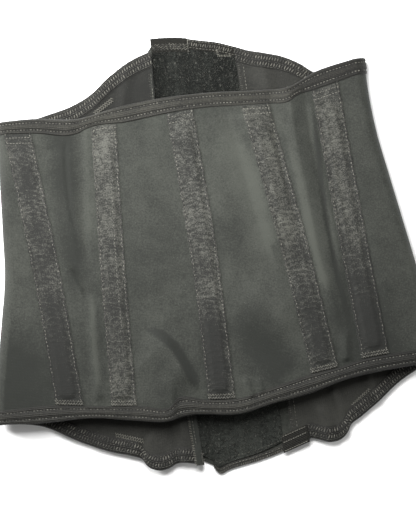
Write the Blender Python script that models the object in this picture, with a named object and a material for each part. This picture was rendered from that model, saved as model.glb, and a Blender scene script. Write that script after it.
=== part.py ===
"""Lumbar support belt, closed at the front and lying flat on its front.

The belt is one loop. Its back panel lies on top, and its two front wings lie under it, joined to
the panel round a fold at each side. The right wing ends in a closure flap, whose hook panel
holds the loop panel on the outer face of the left wing. Every layer is a flat patch in plan,
bounded by smooth edges. One rule bends it round the side folds and gives it its thickness, so
that neighbouring layers stay the same distance apart.

Metres, +Z up, +Y towards the wearer's head.
"""

import math

import bmesh
import bpy
import numpy as np
from mathutils import Matrix, Vector

MM = 0.001

# Thicknesses, and the gap between pieces that touch.
CLEARANCE = 0.3 * MM
SHELL_THICKNESS = 1.5 * MM
LINING_THICKNESS = 1.0 * MM
TAPE_THICKNESS = 0.8 * MM
STAY_THICKNESS = 1.0 * MM
HOOK_THICKNESS = 1.2 * MM
LOOP_THICKNESS = 1.0 * MM

# The layers of a panel, as (inner, outer) distances outwards from its middle surface.
LINING = (-CLEARANCE / 2 - LINING_THICKNESS, -CLEARANCE / 2)
SHELL = (CLEARANCE / 2, CLEARANCE / 2 + SHELL_THICKNESS)
INNER_LEG = (LINING[0] - CLEARANCE - TAPE_THICKNESS, LINING[0] - CLEARANCE)
OUTER_LEG = (SHELL[1] + CLEARANCE, SHELL[1] + CLEARANCE + TAPE_THICKNESS)
STAY = (SHELL[1] + CLEARANCE, SHELL[1] + CLEARANCE + STAY_THICKNESS)
TAPE_ARCH = (STAY[1] + CLEARANCE, STAY[1] + CLEARANCE + TAPE_THICKNESS)

# Heights of the middle surface of each panel above the table.
WING_LEVEL = TAPE_ARCH[1]
BACK_LEVEL = 16.35 * MM
HOOK_LEVEL = SHELL_THICKNESS + CLEARANCE
LOOP_LEVEL = HOOK_LEVEL + HOOK_THICKNESS + CLEARANCE
LEFT_END_LEVEL = LOOP_LEVEL + LOOP_THICKNESS + CLEARANCE + SHELL[1]
SEAM_LEVEL = OUTER_LEG[1]

# The side folds.
FOLD_RADIUS = (BACK_LEVEL - WING_LEVEL) / 2
FOLD_HEIGHT = (BACK_LEVEL + WING_LEVEL) / 2
FOLD_STEPS = 4
FOLD_SPLIT = 0.25 * MM

# Widths in plan.
BINDING_WIDTH = 12 * MM
BINDING_EDGE = TAPE_THICKNESS + CLEARANCE
STAY_WIDTH = 8 * MM
STAY_END_SHARE = 0.6
TAPE_WIDTH = 20 * MM
STAY_END_GAP = 5 * MM
TAPE_END_GAP = 1.2 * MM
END_HEM_WIDTH = (9 * MM, 3 * MM)
HEM_END_GAP = 5 * MM
LOOP_WIDTH = 24 * MM
TONGUE_WIDTH = 25 * MM
TONGUE_SETBACK = 14 * MM
FLAP_HEM_WIDTH = 5 * MM
TAB_SIZE = 13 * MM
SEAM_X = 39.5 * MM
FLAP_LEFT_X = -22 * MM

# How finely each grid follows its edges.
BACK_STEPS = 18
WING_STEPS = 14
ROWS = 10
STRIP_ROWS = 6


class Edge:
    """A smooth line in plan through a few points, in millimetres: at() reads it from 0 to 1."""

    def __init__(self, *points):
        self.points = np.array(points, float) * MM
        lengths = np.linalg.norm(np.diff(self.points, axis=0), axis=1)
        self.knots = np.concatenate([[0.0], np.cumsum(lengths)]) / lengths.sum()
        self.slopes = np.gradient(self.points, self.knots, axis=0)

    def at(self, t):
        first = min(np.searchsorted(self.knots, t, side="right") - 1, len(self.knots) - 2)
        span = self.knots[first + 1] - self.knots[first]
        u = (t - self.knots[first]) / span
        start, end = self.points[first], self.points[first + 1]
        leave, arrive = self.slopes[first] * span, self.slopes[first + 1] * span
        rise = u * u * (3 - 2 * u)
        return start + rise * (end - start) + u * (1 - u) * ((1 - u) * leave - u * arrive)

    def moved(self, x):
        """The same line, x metres further along X."""
        return Edge(*((self.points + (x, 0)) / MM))

    def height(self, x):
        """How high a line that runs across the belt is at one x."""
        line = np.array([self.at(t) for t in np.linspace(0, 1, 101)])
        return float(np.interp(x, line[:, 0], line[:, 1]))

    def across(self, y):
        """Where a line that runs up the belt is at one height."""
        line = np.array([self.at(t) for t in np.linspace(0, 1, 101)])
        return float(np.interp(y, line[:, 1], line[:, 0]))


def between(start, inner, end):
    """An edge from one corner to another, through inner points in millimetres."""
    return Edge(tuple(start / MM), *inner, tuple(end / MM))


# The outermost line of the outer fabric round each side fold, and the line that it turns about.
SHELL_RADIUS = FOLD_RADIUS + SHELL[1]
LEFT_FOLD = Edge((-181, -103), (-174, -69), (-164, -27), (-157, 4), (-153, 42), (-149, 87), (-146, 122))
RIGHT_FOLD = Edge((158, -104), (152.5, -42), (145.5, 8), (140.5, 42), (136, 75), (134.5, 103), (135, 130))
LEFT_TURN = LEFT_FOLD.moved(SHELL_RADIUS)
RIGHT_TURN = RIGHT_FOLD.moved(-SHELL_RADIUS)

# The outline of each panel, as far as the outer edge of its bindings.
BACK_TOP = between(
    LEFT_TURN.at(1),
    ((-119, 121), (-84, 116), (-55, 120), (-26, 122), (15, 121), (55, 117), (73, 116), (98, 125)),
    RIGHT_TURN.at(1),
)
BACK_BOTTOM = between(
    LEFT_TURN.at(0),
    (
        (-145, -106), (-106, -108), (-73, -115), (-54, -118.5), (-35, -116.5),
        (4, -121), (29, -117), (55, -114), (88, -107), (113, -105),
    ),
    RIGHT_TURN.at(0),
)
LEFT_END = Edge((-28, -156), (-23.5, -120), (-23, 0), (-25.5, 120), (-23, 159))
LEFT_WING_TOP = between(
    LEFT_TURN.at(1),
    ((-120, 121), (-104, 123.5), (-89, 126.5), (-73, 133), (-56, 145), (-39, 154)),
    LEFT_END.at(1),
)
LEFT_WING_BOTTOM = between(
    LEFT_TURN.at(0),
    ((-146, -109), (-119, -125), (-91, -140), (-77, -148.5), (-63, -155), (-51, -153.5)),
    LEFT_END.at(0),
)
SEAM = Edge((39.5, -152), (39.5, 0), (39.5, 155))
RIGHT_WING_TOP = between(
    SEAM.at(1),
    ((58, 147.5), (73, 141.5), (87, 133), (97, 125)),
    RIGHT_TURN.at(1),
)
RIGHT_WING_BOTTOM = between(
    SEAM.at(0),
    ((52, -149.5), (67, -153.5), (79, -150.5), (91, -139), (108, -128), (125, -116)),
    RIGHT_TURN.at(0),
)
FLAP_TOP = between(np.array((-22, 168)) * MM, ((-14, 168), (6, 165), (28, 160)), SEAM.at(1))
FLAP_BOTTOM = between(
    np.array((-22, -162)) * MM, ((-16, -165), (-5, -163), (13, -159.5), (28, -156)), SEAM.at(0)
)

# The middle line of each stay and its tape, from its lower end to its upper one.
BACK_STAYS = (
    Edge((-122, -100), (-125, 12), (-131, 112)),
    Edge((-82, -104), (-75, 3), (-66, 107)),
    Edge((-8.5, -108), (-6, 0), (-8, 108)),
    Edge((71, -98), (62, -4), (47, 106)),
    Edge((110, -92), (105.5, 0), (102, 112)),
)
LEFT_WING_STAY = Edge((-82, -133), (-73, 0), (-65, 126))
RIGHT_WING_STAY = Edge((95.5, -124), (88, 0), (82, 123))


def smooth_step(low, high, x):
    u = min(max((x - low) / (high - low), 0.0), 1.0)
    return u * u * (3 - 2 * u)


def left_lift(x):
    """The left wing climbs onto the closure flap towards its end."""
    return (LEFT_END_LEVEL - WING_LEVEL) * smooth_step(-105 * MM, -58 * MM, x)


def right_lift(x):
    """The right wing comes down towards the flap at its seam."""
    return (SEAM_LEVEL - WING_LEVEL) * (1 - smooth_step(45 * MM, 74 * MM, x))


def no_lift(x):
    return 0.0


class Panel:
    """One side of the flattened loop, bounded in plan by four edges.

    outward is 1 for the back panel, whose outer face looks up, and -1 for a wing. A column is
    (across, turn): across is 0 to 1 over the flat patch, and turn is the angle gone round the
    fold at that side, negative round the left one. Offsets are measured outwards from the
    middle surface.
    """

    def __init__(self, low, high, left, right, outward, lift, steps, folds):
        self.low, self.high, self.left, self.right = low, high, left, right
        self.outward, self.lift = outward, lift
        self.columns = self.columns_of(steps, folds)

    def columns_of(self, steps, folds):
        split = math.pi / 2 - FOLD_SPLIT / FOLD_RADIUS
        turns = [split * (FOLD_STEPS - step) / FOLD_STEPS for step in range(FOLD_STEPS)]
        columns = [(step / steps, 0.0) for step in range(steps + 1)]
        if "left" in folds:
            columns = [(0.0, -turn) for turn in turns] + columns
        if "right" in folds:
            columns += [(1.0, turn) for turn in reversed(turns)]
        return columns

    def plan(self, across, up):
        """A Coons patch: the surface that the four edges span."""
        rows = (1 - up) * self.low.at(across) + up * self.high.at(across)
        sides = (1 - across) * self.left.at(up) + across * self.right.at(up)
        bottom = (1 - across) * self.low.at(0) + across * self.low.at(1)
        top = (1 - across) * self.high.at(0) + across * self.high.at(1)
        return rows + sides - (1 - up) * bottom - up * top

    def level(self, x, offset):
        """The height, on the flat part, of a layer at this offset."""
        return FOLD_HEIGHT + self.outward * (FOLD_RADIUS + offset) + self.lift(x)

    def point(self, column, up, offset):
        across, turn = column
        x, y = self.plan(across, up)
        radius = FOLD_RADIUS + offset
        height = FOLD_HEIGHT + self.outward * radius * math.cos(turn) + self.lift(x)
        return Vector((x + radius * math.sin(turn), y, height))

    def tall(self, across):
        return float(np.linalg.norm(self.high.at(across) - self.low.at(across)))


BACK = Panel(BACK_BOTTOM, BACK_TOP, LEFT_TURN, RIGHT_TURN, 1, no_lift, BACK_STEPS, ("left", "right"))
LEFT_WING = Panel(
    LEFT_WING_BOTTOM, LEFT_WING_TOP, LEFT_TURN, LEFT_END, -1, left_lift, WING_STEPS, ("left",)
)
RIGHT_WING = Panel(
    RIGHT_WING_BOTTOM, RIGHT_WING_TOP, SEAM, RIGHT_TURN, -1, right_lift, WING_STEPS, ("right",)
)


def clear_scene():
    for obj in list(bpy.data.objects):
        bpy.data.objects.remove(obj, do_unlink=True)


def new_collection(name):
    made = bpy.data.collections.new(name)
    bpy.context.scene.collection.children.link(made)
    return made


def finish(name, colour, roughness, metallic=0.0):
    made = bpy.data.materials.new(name)
    made.use_nodes = True
    shader = made.node_tree.nodes["Principled BSDF"]
    shader.inputs["Base Color"].default_value = (*colour, 1)
    shader.inputs["Roughness"].default_value = roughness
    shader.inputs["Metallic"].default_value = metallic
    made.diffuse_color = (*colour, 1)
    return made


class Workshop:
    """Adds objects to the belt's collection, each with its finish."""

    def __init__(self, collection):
        self.collection = collection
        self.finishes = {
            "neoprene": finish("charcoal_neoprene", (0.085, 0.088, 0.078), 0.75),
            "lining": finish("charcoal_lining", (0.065, 0.067, 0.06), 0.8),
            "tape": finish("channel_tape", (0.09, 0.09, 0.08), 0.6),
            "binding": finish("edge_binding", (0.085, 0.085, 0.075), 0.8),
            "hook": finish("hook_fleece", (0.045, 0.05, 0.043), 0.95),
            "loop": finish("loop_fleece", (0.05, 0.052, 0.048), 0.95),
            "steel": finish("spring_steel", (0.55, 0.55, 0.55), 0.35, 1.0),
        }

    def add(self, name, mesh, slot):
        obj = bpy.data.objects.new(name, mesh)
        mesh.materials.append(self.finishes[slot])
        self.collection.objects.link(obj)
        return obj

    def bent_grid(self, name, columns, rows, place, slot):
        """A flat grid, extruded once, then bent: place(column, row, layer) gives each corner."""
        bm = bmesh.new()
        bmesh.ops.create_grid(bm, x_segments=columns, y_segments=rows, size=0.5)
        lower = set(bm.verts)
        bmesh.ops.extrude_face_region(bm, geom=bm.faces[:], use_keep_orig=True)
        for vert in bm.verts:
            column = round((vert.co.x + 0.5) * columns)
            row = round((vert.co.y + 0.5) * rows)
            vert.co = place(column, row, 0 if vert in lower else 1)
        bmesh.ops.recalc_face_normals(bm, faces=bm.faces[:])
        if bm.calc_volume(signed=True) < 0:
            bmesh.ops.reverse_faces(bm, faces=bm.faces[:])
        mesh = bpy.data.meshes.new(name)
        bm.to_mesh(mesh)
        bm.free()
        return self.add(name, mesh, slot)

    def flat_outline(self, name, points, low, thickness, slot):
        """A plate with a straight-sided outline, from a filled and extruded flat curve."""
        curve = bpy.data.curves.new(name + "_outline", "CURVE")
        curve.dimensions = "2D"
        curve.fill_mode = "BOTH"
        curve.extrude = thickness / 2
        spline = curve.splines.new("POLY")
        spline.points.add(len(points) - 1)
        for spot, (x, y) in zip(spline.points, points):
            spot.co = (x, y, 0, 1)
        spline.use_cyclic_u = True
        outline = bpy.data.objects.new(name + "_outline", curve)
        self.collection.objects.link(outline)
        graph = bpy.context.evaluated_depsgraph_get()
        mesh = bpy.data.meshes.new_from_object(outline.evaluated_get(graph))
        bpy.data.objects.remove(outline, do_unlink=True)
        bm = bmesh.new()
        bm.from_mesh(mesh)
        bmesh.ops.remove_doubles(bm, verts=bm.verts[:], dist=0.01 * MM)
        bmesh.ops.translate(bm, verts=bm.verts[:], vec=(0, 0, low + thickness / 2))
        bmesh.ops.recalc_face_normals(bm, faces=bm.faces[:])
        bm.to_mesh(mesh)
        bm.free()
        mesh.name = name
        return self.add(name, mesh, slot)


def sheet(shop, name, panel, layer, slot):
    """A layer of fabric over a whole panel, as far as the inside of its bindings."""

    def place(column, row, face):
        across, turn = panel.columns[column]
        edge = BINDING_EDGE / panel.tall(across)
        return panel.point((across, turn), edge + (1 - 2 * edge) * row / ROWS, layer[face])

    return shop.bent_grid(name, len(panel.columns) - 1, ROWS, place, slot)


def binding(shop, name, panel, at_top):
    """A tape folded over a panel's upper or lower edge, round its folds too."""
    outside = (
        (BINDING_WIDTH, INNER_LEG[0]),
        (0, INNER_LEG[0]),
        (0, OUTER_LEG[1]),
        (BINDING_WIDTH, OUTER_LEG[1]),
    )
    inside = (
        (BINDING_WIDTH, INNER_LEG[1]),
        (TAPE_THICKNESS, INNER_LEG[1]),
        (TAPE_THICKNESS, OUTER_LEG[0]),
        (BINDING_WIDTH, OUTER_LEG[0]),
    )

    def place(column, row, face):
        width, offset = (outside if face else inside)[row]
        across, turn = panel.columns[column]
        up = width / panel.tall(across)
        return panel.point((across, turn), 1 - up if at_top else up, offset)

    return shop.bent_grid(name, len(panel.columns) - 1, len(outside) - 1, place, "binding")


def stay_rows(panel, line, gap):
    """The heights from the lower binding to the upper one along a stay, at one sideways step."""

    def height(row, sideways):
        bottom, top = line.at(0), line.at(1)
        low = panel.low.height(bottom[0] + sideways) + BINDING_WIDTH + gap
        high = panel.high.height(top[0] + sideways) - BINDING_WIDTH - gap
        return low + (high - low) * row / STRIP_ROWS

    return height


def channel_tape(shop, name, panel, line):
    """A tape sewn down along both sides, arched over its stay."""
    half, arch, foot = TAPE_WIDTH / 2, STAY_WIDTH / 2 + 0.8 * MM, STAY_WIDTH / 2 + 3 * MM
    profile = (
        (-half, OUTER_LEG), (-foot, OUTER_LEG), (-arch, TAPE_ARCH),
        (arch, TAPE_ARCH), (foot, OUTER_LEG), (half, OUTER_LEG),
    )
    height = stay_rows(panel, line, TAPE_END_GAP)

    def place(column, row, face):
        sideways, layer = profile[column]
        y = height(row, sideways)
        x = line.across(y) + sideways
        return Vector((x, y, panel.level(x, layer[face])))

    return shop.bent_grid(name, len(profile) - 1, STRIP_ROWS, place, "tape")


def stay(shop, name, panel, line):
    """A flat spring-steel stay with narrowed ends, inside its channel."""
    height = stay_rows(panel, line, STAY_END_GAP)

    def place(column, row, face):
        y = height(row, 0)
        ends = row in (0, STRIP_ROWS)
        x = line.across(y) + (column - 0.5) * STAY_WIDTH * (STAY_END_SHARE if ends else 1)
        return Vector((x, y, panel.level(x, STAY[face])))

    return shop.bent_grid(name, 1, STRIP_ROWS, place, "steel")


def strip_beside(shop, name, panel, layer, rows, side_x, slot):
    """A flat strip on one panel: side_x(column, y) gives its two sides, rows its lowest and highest."""

    def place(column, row, face):
        y = rows[0] + (rows[1] - rows[0]) * row / STRIP_ROWS
        x = side_x(column, y)
        return Vector((x, y, panel.level(side_x(1, y), layer[face])))

    return shop.bent_grid(name, 1, STRIP_ROWS, place, slot)


def back_pieces(shop):
    pieces = [
        sheet(shop, "back_shell", BACK, SHELL, "neoprene"),
        sheet(shop, "back_lining", BACK, LINING, "lining"),
        binding(shop, "back_top_binding", BACK, True),
        binding(shop, "back_bottom_binding", BACK, False),
    ]
    for number, line in enumerate(BACK_STAYS, start=1):
        pieces.append(stay(shop, f"back_stay_{number}", BACK, line))
        pieces.append(channel_tape(shop, f"back_stay_tape_{number}", BACK, line))
    return pieces


def wing_pieces(shop, side, panel, line):
    return [
        sheet(shop, f"{side}_wing_shell", panel, SHELL, "neoprene"),
        sheet(shop, f"{side}_wing_lining", panel, LINING, "lining"),
        binding(shop, f"{side}_wing_top_binding", panel, True),
        binding(shop, f"{side}_wing_bottom_binding", panel, False),
        stay(shop, f"{side}_wing_stay", panel, line),
        channel_tape(shop, f"{side}_wing_stay_tape", panel, line),
    ]


def left_end_pieces(shop):
    """The turned hem on the left wing's end, and the loop panel on its outer face."""
    low = LEFT_END.at(0)[1] + BINDING_WIDTH + HEM_END_GAP
    high = LEFT_END.at(1)[1] - BINDING_WIDTH - HEM_END_GAP
    loop_high = LEFT_WING_TOP.height(LEFT_END.at(1)[0] - LOOP_WIDTH) - BINDING_WIDTH - HEM_END_GAP

    def hem_side(column, y):
        width = np.interp(y, (low, high), END_HEM_WIDTH)
        return LEFT_END.across(y) - (0 if column else width)

    def loop_side(column, y):
        return LEFT_END.across(y) - 2 * MM - (0 if column else LOOP_WIDTH)

    loop_layer = (OUTER_LEG[0], OUTER_LEG[0] + LOOP_THICKNESS)
    return [
        strip_beside(shop, "left_end_hem", LEFT_WING, INNER_LEG, (low, high), hem_side, "neoprene"),
        strip_beside(shop, "loop_panel", LEFT_WING, loop_layer, (low, loop_high), loop_side, "loop"),
    ]


def binding_tab(shop):
    """The folded end of the right wing's lower binding, on its inner face beside the seam."""
    left, right = SEAM_X + CLEARANCE, SEAM_X + TAB_SIZE
    layer = (INNER_LEG[0] - CLEARANCE - TAPE_THICKNESS, INNER_LEG[0] - CLEARANCE)

    def place(column, row, face):
        x = (left, right)[column]
        y = RIGHT_WING_BOTTOM.height(x) - 2 * MM + row * TAB_SIZE
        return Vector((x, y, RIGHT_WING.level(x, layer[face])))

    return shop.bent_grid("binding_end_tab", 1, 1, place, "binding")


def flap_stations():
    """Where the flap's outline has its corners, from its free side to its seam."""
    return np.linspace(FLAP_LEFT_X, SEAM_X - CLEARANCE, STRIP_ROWS + 1)


def flap_outline(low_set_in, high_set_in):
    """The closure flap's outline, set in from its edges, with the tongue on its left."""
    stations = flap_stations()
    bottom = [(x, FLAP_BOTTOM.height(x) + low_set_in) for x in stations]
    top = [(x, FLAP_TOP.height(x) - high_set_in) for x in reversed(stations)]
    tongue_x = FLAP_LEFT_X - TONGUE_WIDTH
    tongue_low = LEFT_END.at(0)[1] + TONGUE_SETBACK
    tongue_high = LEFT_END.at(1)[1] - TONGUE_SETBACK
    tongue = [
        (FLAP_LEFT_X, tongue_high), (tongue_x, tongue_high),
        (tongue_x, tongue_low), (FLAP_LEFT_X, tongue_low),
    ]
    return bottom + top + tongue


def flap_edge(shop, name, line, width, inward):
    """A tape along the flap's upper or lower edge: over the inner face, and down over the edge."""
    outside = ((width, HOOK_LEVEL + TAPE_THICKNESS), (0, HOOK_LEVEL + TAPE_THICKNESS), (0, 0))
    inside = ((width, HOOK_LEVEL), (TAPE_THICKNESS, HOOK_LEVEL), (TAPE_THICKNESS, 0))
    stations = flap_stations()

    def place(column, row, face):
        set_in, height = (outside if face else inside)[row]
        x = stations[column]
        return Vector((x, line.height(x) + inward * set_in, height))

    return shop.bent_grid(name, STRIP_ROWS, 2, place, "binding")


def flap_pieces(shop):
    base = flap_outline(BINDING_EDGE, BINDING_EDGE)
    hooks = flap_outline(FLAP_HEM_WIDTH + CLEARANCE, BINDING_WIDTH + CLEARANCE)
    return [
        shop.flat_outline("flap_base", base, 0, SHELL_THICKNESS, "neoprene"),
        shop.flat_outline("hook_panel", hooks, HOOK_LEVEL, HOOK_THICKNESS, "hook"),
        flap_edge(shop, "flap_top_binding", FLAP_TOP, BINDING_WIDTH, -1),
        flap_edge(shop, "flap_bottom_hem", FLAP_BOTTOM, FLAP_HEM_WIDTH, 1),
    ]


def axis_beside(fold, side):
    """The straight line, seen from above, that just clears every piece round a side fold.

    Its direction is the fold's own, from end to end. side is -1 for the left fold and 1 for the
    right one. It returns the line's lower and upper ends.
    """
    bottom, top = fold.at(0), fold.at(1)
    bulge = max(
        side * (fold.at(t)[0] - np.interp(fold.at(t)[1], (bottom[1], top[1]), (bottom[0], top[0])))
        for t in np.linspace(0, 1, 41)
    )
    reach = side * (bulge + OUTER_LEG[1] - SHELL[1] + CLEARANCE)
    return [Vector((x + reach, y, FOLD_HEIGHT)) for x, y in (bottom, top)]


def put_on_axis(name, start, end, pieces, collection):
    """Parents the pieces of a moving body to an empty on its joint, whose Z points along it."""
    empty = bpy.data.objects.new(name, None)
    empty.empty_display_type = "SINGLE_ARROW"
    empty.empty_display_size = 0.05
    turn = (end - start).to_track_quat("Z", "Y").to_matrix().to_4x4()
    empty.matrix_world = Matrix.Translation((start + end) / 2) @ turn
    collection.objects.link(empty)
    bpy.context.view_layer.update()
    for piece in pieces:
        piece.parent = empty
        piece.matrix_parent_inverse = empty.matrix_world.inverted()
    return empty


def stand_on_origin(objects, axes):
    """Moves everything so that the middle of the belt's lowest face is the origin."""
    corners = np.array([vert.co for obj in objects for vert in obj.data.vertices])
    low, high = corners.min(axis=0), corners.max(axis=0)
    shift = Vector((-(low[0] + high[0]) / 2, -(low[1] + high[1]) / 2, -low[2]))
    for obj in objects:
        obj.data.transform(Matrix.Translation(shift))
    return [[spot + shift for spot in axis] for axis in axes]


def main():
    clear_scene()
    collection = new_collection("lumbar_support_belt")
    shop = Workshop(collection)
    back = back_pieces(shop)
    left_wing = wing_pieces(shop, "left", LEFT_WING, LEFT_WING_STAY) + left_end_pieces(shop)
    right_wing = wing_pieces(shop, "right", RIGHT_WING, RIGHT_WING_STAY) + [binding_tab(shop)]
    flap = flap_pieces(shop)
    peel_x = SEAM_X - CLEARANCE / 2
    peel = [Vector((peel_x, y, 0)) for _, y in (SEAM.at(1), SEAM.at(0))]
    axes = [axis_beside(LEFT_FOLD, -1), axis_beside(RIGHT_FOLD, 1)[::-1], peel]
    left_axis, right_axis, peel = stand_on_origin(back + left_wing + right_wing + flap, axes)
    right_root = put_on_axis("right_wing_fold", *right_axis, right_wing, collection)
    put_on_axis("left_wing_fold", *left_axis, left_wing, collection)
    flap_root = put_on_axis("closure_peel", *peel, flap, collection)
    flap_root.parent = right_root
    flap_root.matrix_parent_inverse = right_root.matrix_world.inverted()
    for name, (start, end) in (("left", left_axis), ("right", right_axis), ("peel", peel)):
        middle, along = (start + end) / 2, (end - start).normalized()
        print(name, "axis at", [round(v, 5) for v in middle], "along", [round(v, 5) for v in along])


main()
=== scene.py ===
# %% [markdown]
# # A lumbar support belt, closed and lying flat
# This belt wraps round the lower back. It is one loop of soft foam fabric: a back panel on top, a
# fold at each side, and two front wings underneath that meet at a hook-and-loop flap. Five spring
# stays run up the back under sewn-on tapes, and one up each wing.
#
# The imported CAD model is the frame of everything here. It is loaded first, it is never moved, and
# each soft CAD solid is replaced by a piece of real cloth that lies in the same place.

# %% Load the frame and measure it
import math

import bpy
import numpy as np
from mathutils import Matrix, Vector


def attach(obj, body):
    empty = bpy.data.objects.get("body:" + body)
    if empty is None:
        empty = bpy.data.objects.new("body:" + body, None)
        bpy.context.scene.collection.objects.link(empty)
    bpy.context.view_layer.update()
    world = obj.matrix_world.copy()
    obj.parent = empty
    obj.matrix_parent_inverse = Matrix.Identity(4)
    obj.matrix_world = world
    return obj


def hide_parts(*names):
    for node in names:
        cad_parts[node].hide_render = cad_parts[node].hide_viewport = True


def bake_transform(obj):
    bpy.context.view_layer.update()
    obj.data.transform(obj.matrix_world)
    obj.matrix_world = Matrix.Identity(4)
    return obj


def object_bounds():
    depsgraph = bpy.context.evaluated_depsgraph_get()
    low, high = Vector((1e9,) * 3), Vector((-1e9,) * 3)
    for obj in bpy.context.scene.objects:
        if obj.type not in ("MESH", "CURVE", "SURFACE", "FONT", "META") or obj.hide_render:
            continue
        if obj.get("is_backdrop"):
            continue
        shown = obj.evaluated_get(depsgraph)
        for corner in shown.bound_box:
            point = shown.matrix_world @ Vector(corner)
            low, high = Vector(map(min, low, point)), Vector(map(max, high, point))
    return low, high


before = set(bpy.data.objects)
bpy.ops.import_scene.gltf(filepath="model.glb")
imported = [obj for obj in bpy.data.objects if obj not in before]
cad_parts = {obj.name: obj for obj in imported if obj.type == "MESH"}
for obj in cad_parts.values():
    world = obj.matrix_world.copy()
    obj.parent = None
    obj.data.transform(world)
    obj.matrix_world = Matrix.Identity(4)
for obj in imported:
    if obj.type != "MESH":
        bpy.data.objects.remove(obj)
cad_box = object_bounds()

MM = 0.001
print("CAD box in mm:", [[round(v / MM, 1) for v in corner] for corner in cad_box])

# %% [markdown]
# ## The camera
# The belt is seen from straight above, turned a few degrees. A long lens from two metres up keeps
# the upper and the lower layer at almost the same scale.

# %% Camera
VIEW_TURN = math.radians(-8.5)
VIEW_HEIGHT = 2.0
VIEW_SPAN = 0.390
MID_HEIGHT = 0.0165
SENSOR_WIDTH = 36

camera_data = bpy.data.cameras.new("camera")
camera = bpy.data.objects.new("camera", camera_data)
bpy.context.scene.collection.objects.link(camera)
camera.location = (0.0080, -0.0048, VIEW_HEIGHT)
camera.rotation_euler = (0, 0, VIEW_TURN)
camera_data.sensor_width = SENSOR_WIDTH
camera_data.lens = SENSOR_WIDTH * (VIEW_HEIGHT - MID_HEIGHT) / VIEW_SPAN
camera_data.clip_end = 20
bpy.context.scene.camera = camera
print("lens in mm:", round(camera_data.lens, 1))

# %% [markdown]
# ## Floor and light
# A product table is white and brightly lit. One soft light stands close by above the belt's upper
# edge, so the light falls off towards the lower edge. Another comes in low from the left and
# gives the creases their bright and dark sides, and a faint one finds the rim of the right fold.
# A pale world fills the shadows. Standard colour keeps the white of the table white.

# %% Floor, lights and world
def add_floor():
    bpy.ops.mesh.primitive_plane_add(size=8, location=(0, 0, -0.0004))
    floor = bpy.context.object
    floor.name = "table_top"
    paint = bpy.data.materials.new("white_table")
    paint.use_nodes = True
    shader = paint.node_tree.nodes["Principled BSDF"]
    shader.inputs["Base Color"].default_value = (0.9, 0.9, 0.895, 1)
    shader.inputs["Roughness"].default_value = 0.9
    floor.data.materials.append(paint)
    floor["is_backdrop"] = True
    return floor


def add_softbox(name, azimuth, elevation, distance, size, watts):
    """A square light that points at the belt: azimuth 0 is +X, 90 is +Y."""
    data = bpy.data.lights.new(name, "AREA")
    data.size = size
    data.energy = watts
    lamp = bpy.data.objects.new(name, data)
    a, e = math.radians(azimuth), math.radians(elevation)
    place = Vector((math.cos(a) * math.cos(e), math.sin(a) * math.cos(e), math.sin(e)))
    lamp.location = place * distance
    lamp.rotation_euler = place.to_track_quat("Z", "Y").to_euler()
    bpy.context.scene.collection.objects.link(lamp)
    return lamp


bpy.ops.object.select_all(action="DESELECT")
add_floor()
add_softbox("upper_light", 93, 67, 0.42, 0.28, 5.4)
add_softbox("left_light", 150, 22, 0.80, 0.3, 16)
add_softbox("rim_light", 2, 10, 1.2, 0.3, 9)
world = bpy.data.worlds.new("pale_room")
world.use_nodes = True
world.node_tree.nodes["Background"].inputs["Color"].default_value = (1, 1, 0.99, 1)
world.node_tree.nodes["Background"].inputs["Strength"].default_value = 0.34
bpy.context.scene.world = world
bpy.context.scene.view_settings.view_transform = "Standard"

# %% [markdown]
# ## Lines drawn on the belt
# A maker draws a pattern as smooth lines through a few measured points. All the shapes here are
# drawn that way, in millimetres, on the same drawing as the CAD part. A shift turns drawing
# positions into positions in the frame.

# %% A smooth line, and the step from drawing to frame
SHIFT = np.array((11.5, -1.56, 0.0))


def to_frame(points):
    """Millimetres on the drawing to metres in the frame."""
    return (np.asarray(points, float) + SHIFT) * MM


class Edge:
    """A smooth line in plan through a few points: at() reads it from 0 to 1."""

    def __init__(self, *points):
        self.points = np.array(points, float)
        lengths = np.linalg.norm(np.diff(self.points, axis=0), axis=1)
        self.knots = np.concatenate([[0.0], np.cumsum(lengths)]) / lengths.sum()
        self.slopes = np.gradient(self.points, self.knots, axis=0)

    def at(self, t):
        t = np.asarray(t, float)
        first = np.clip(np.searchsorted(self.knots, t, side="right") - 1, 0, len(self.knots) - 2)
        span = (self.knots[first + 1] - self.knots[first])[..., None]
        u = (t - self.knots[first])[..., None] / span
        start, end = self.points[first], self.points[first + 1]
        leave, arrive = self.slopes[first] * span, self.slopes[first + 1] * span
        rise = u * u * (3 - 2 * u)
        return start + rise * (end - start) + u * (1 - u) * ((1 - u) * leave - u * arrive)

    def moved(self, x):
        return Edge(*(self.points + (x, 0)))

    def height(self, x):
        """How high a line that runs across the belt is at each x."""
        line = self.at(np.linspace(0, 1, 201))
        return np.interp(x, line[:, 0], line[:, 1])

    def across(self, y):
        """Where a line that runs up the belt is at each height."""
        line = self.at(np.linspace(0, 1, 201))
        return np.interp(y, line[:, 1], line[:, 0])


def between(start, inner, end):
    return Edge(tuple(start), *inner, tuple(end))


def smooth_step(low, high, x):
    u = np.clip((x - low) / (high - low), 0, 1)
    return u * u * (3 - 2 * u)


print("drawing origin lies in the frame at", to_frame((0, 0, 0)))

# %% [markdown]
# ## The outline of each panel
# The two side folds come first. Each panel is then bounded by a lower and an upper edge and two
# sides. The back has a dip and a rise in its edges where it has relaxed on the table.

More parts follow.
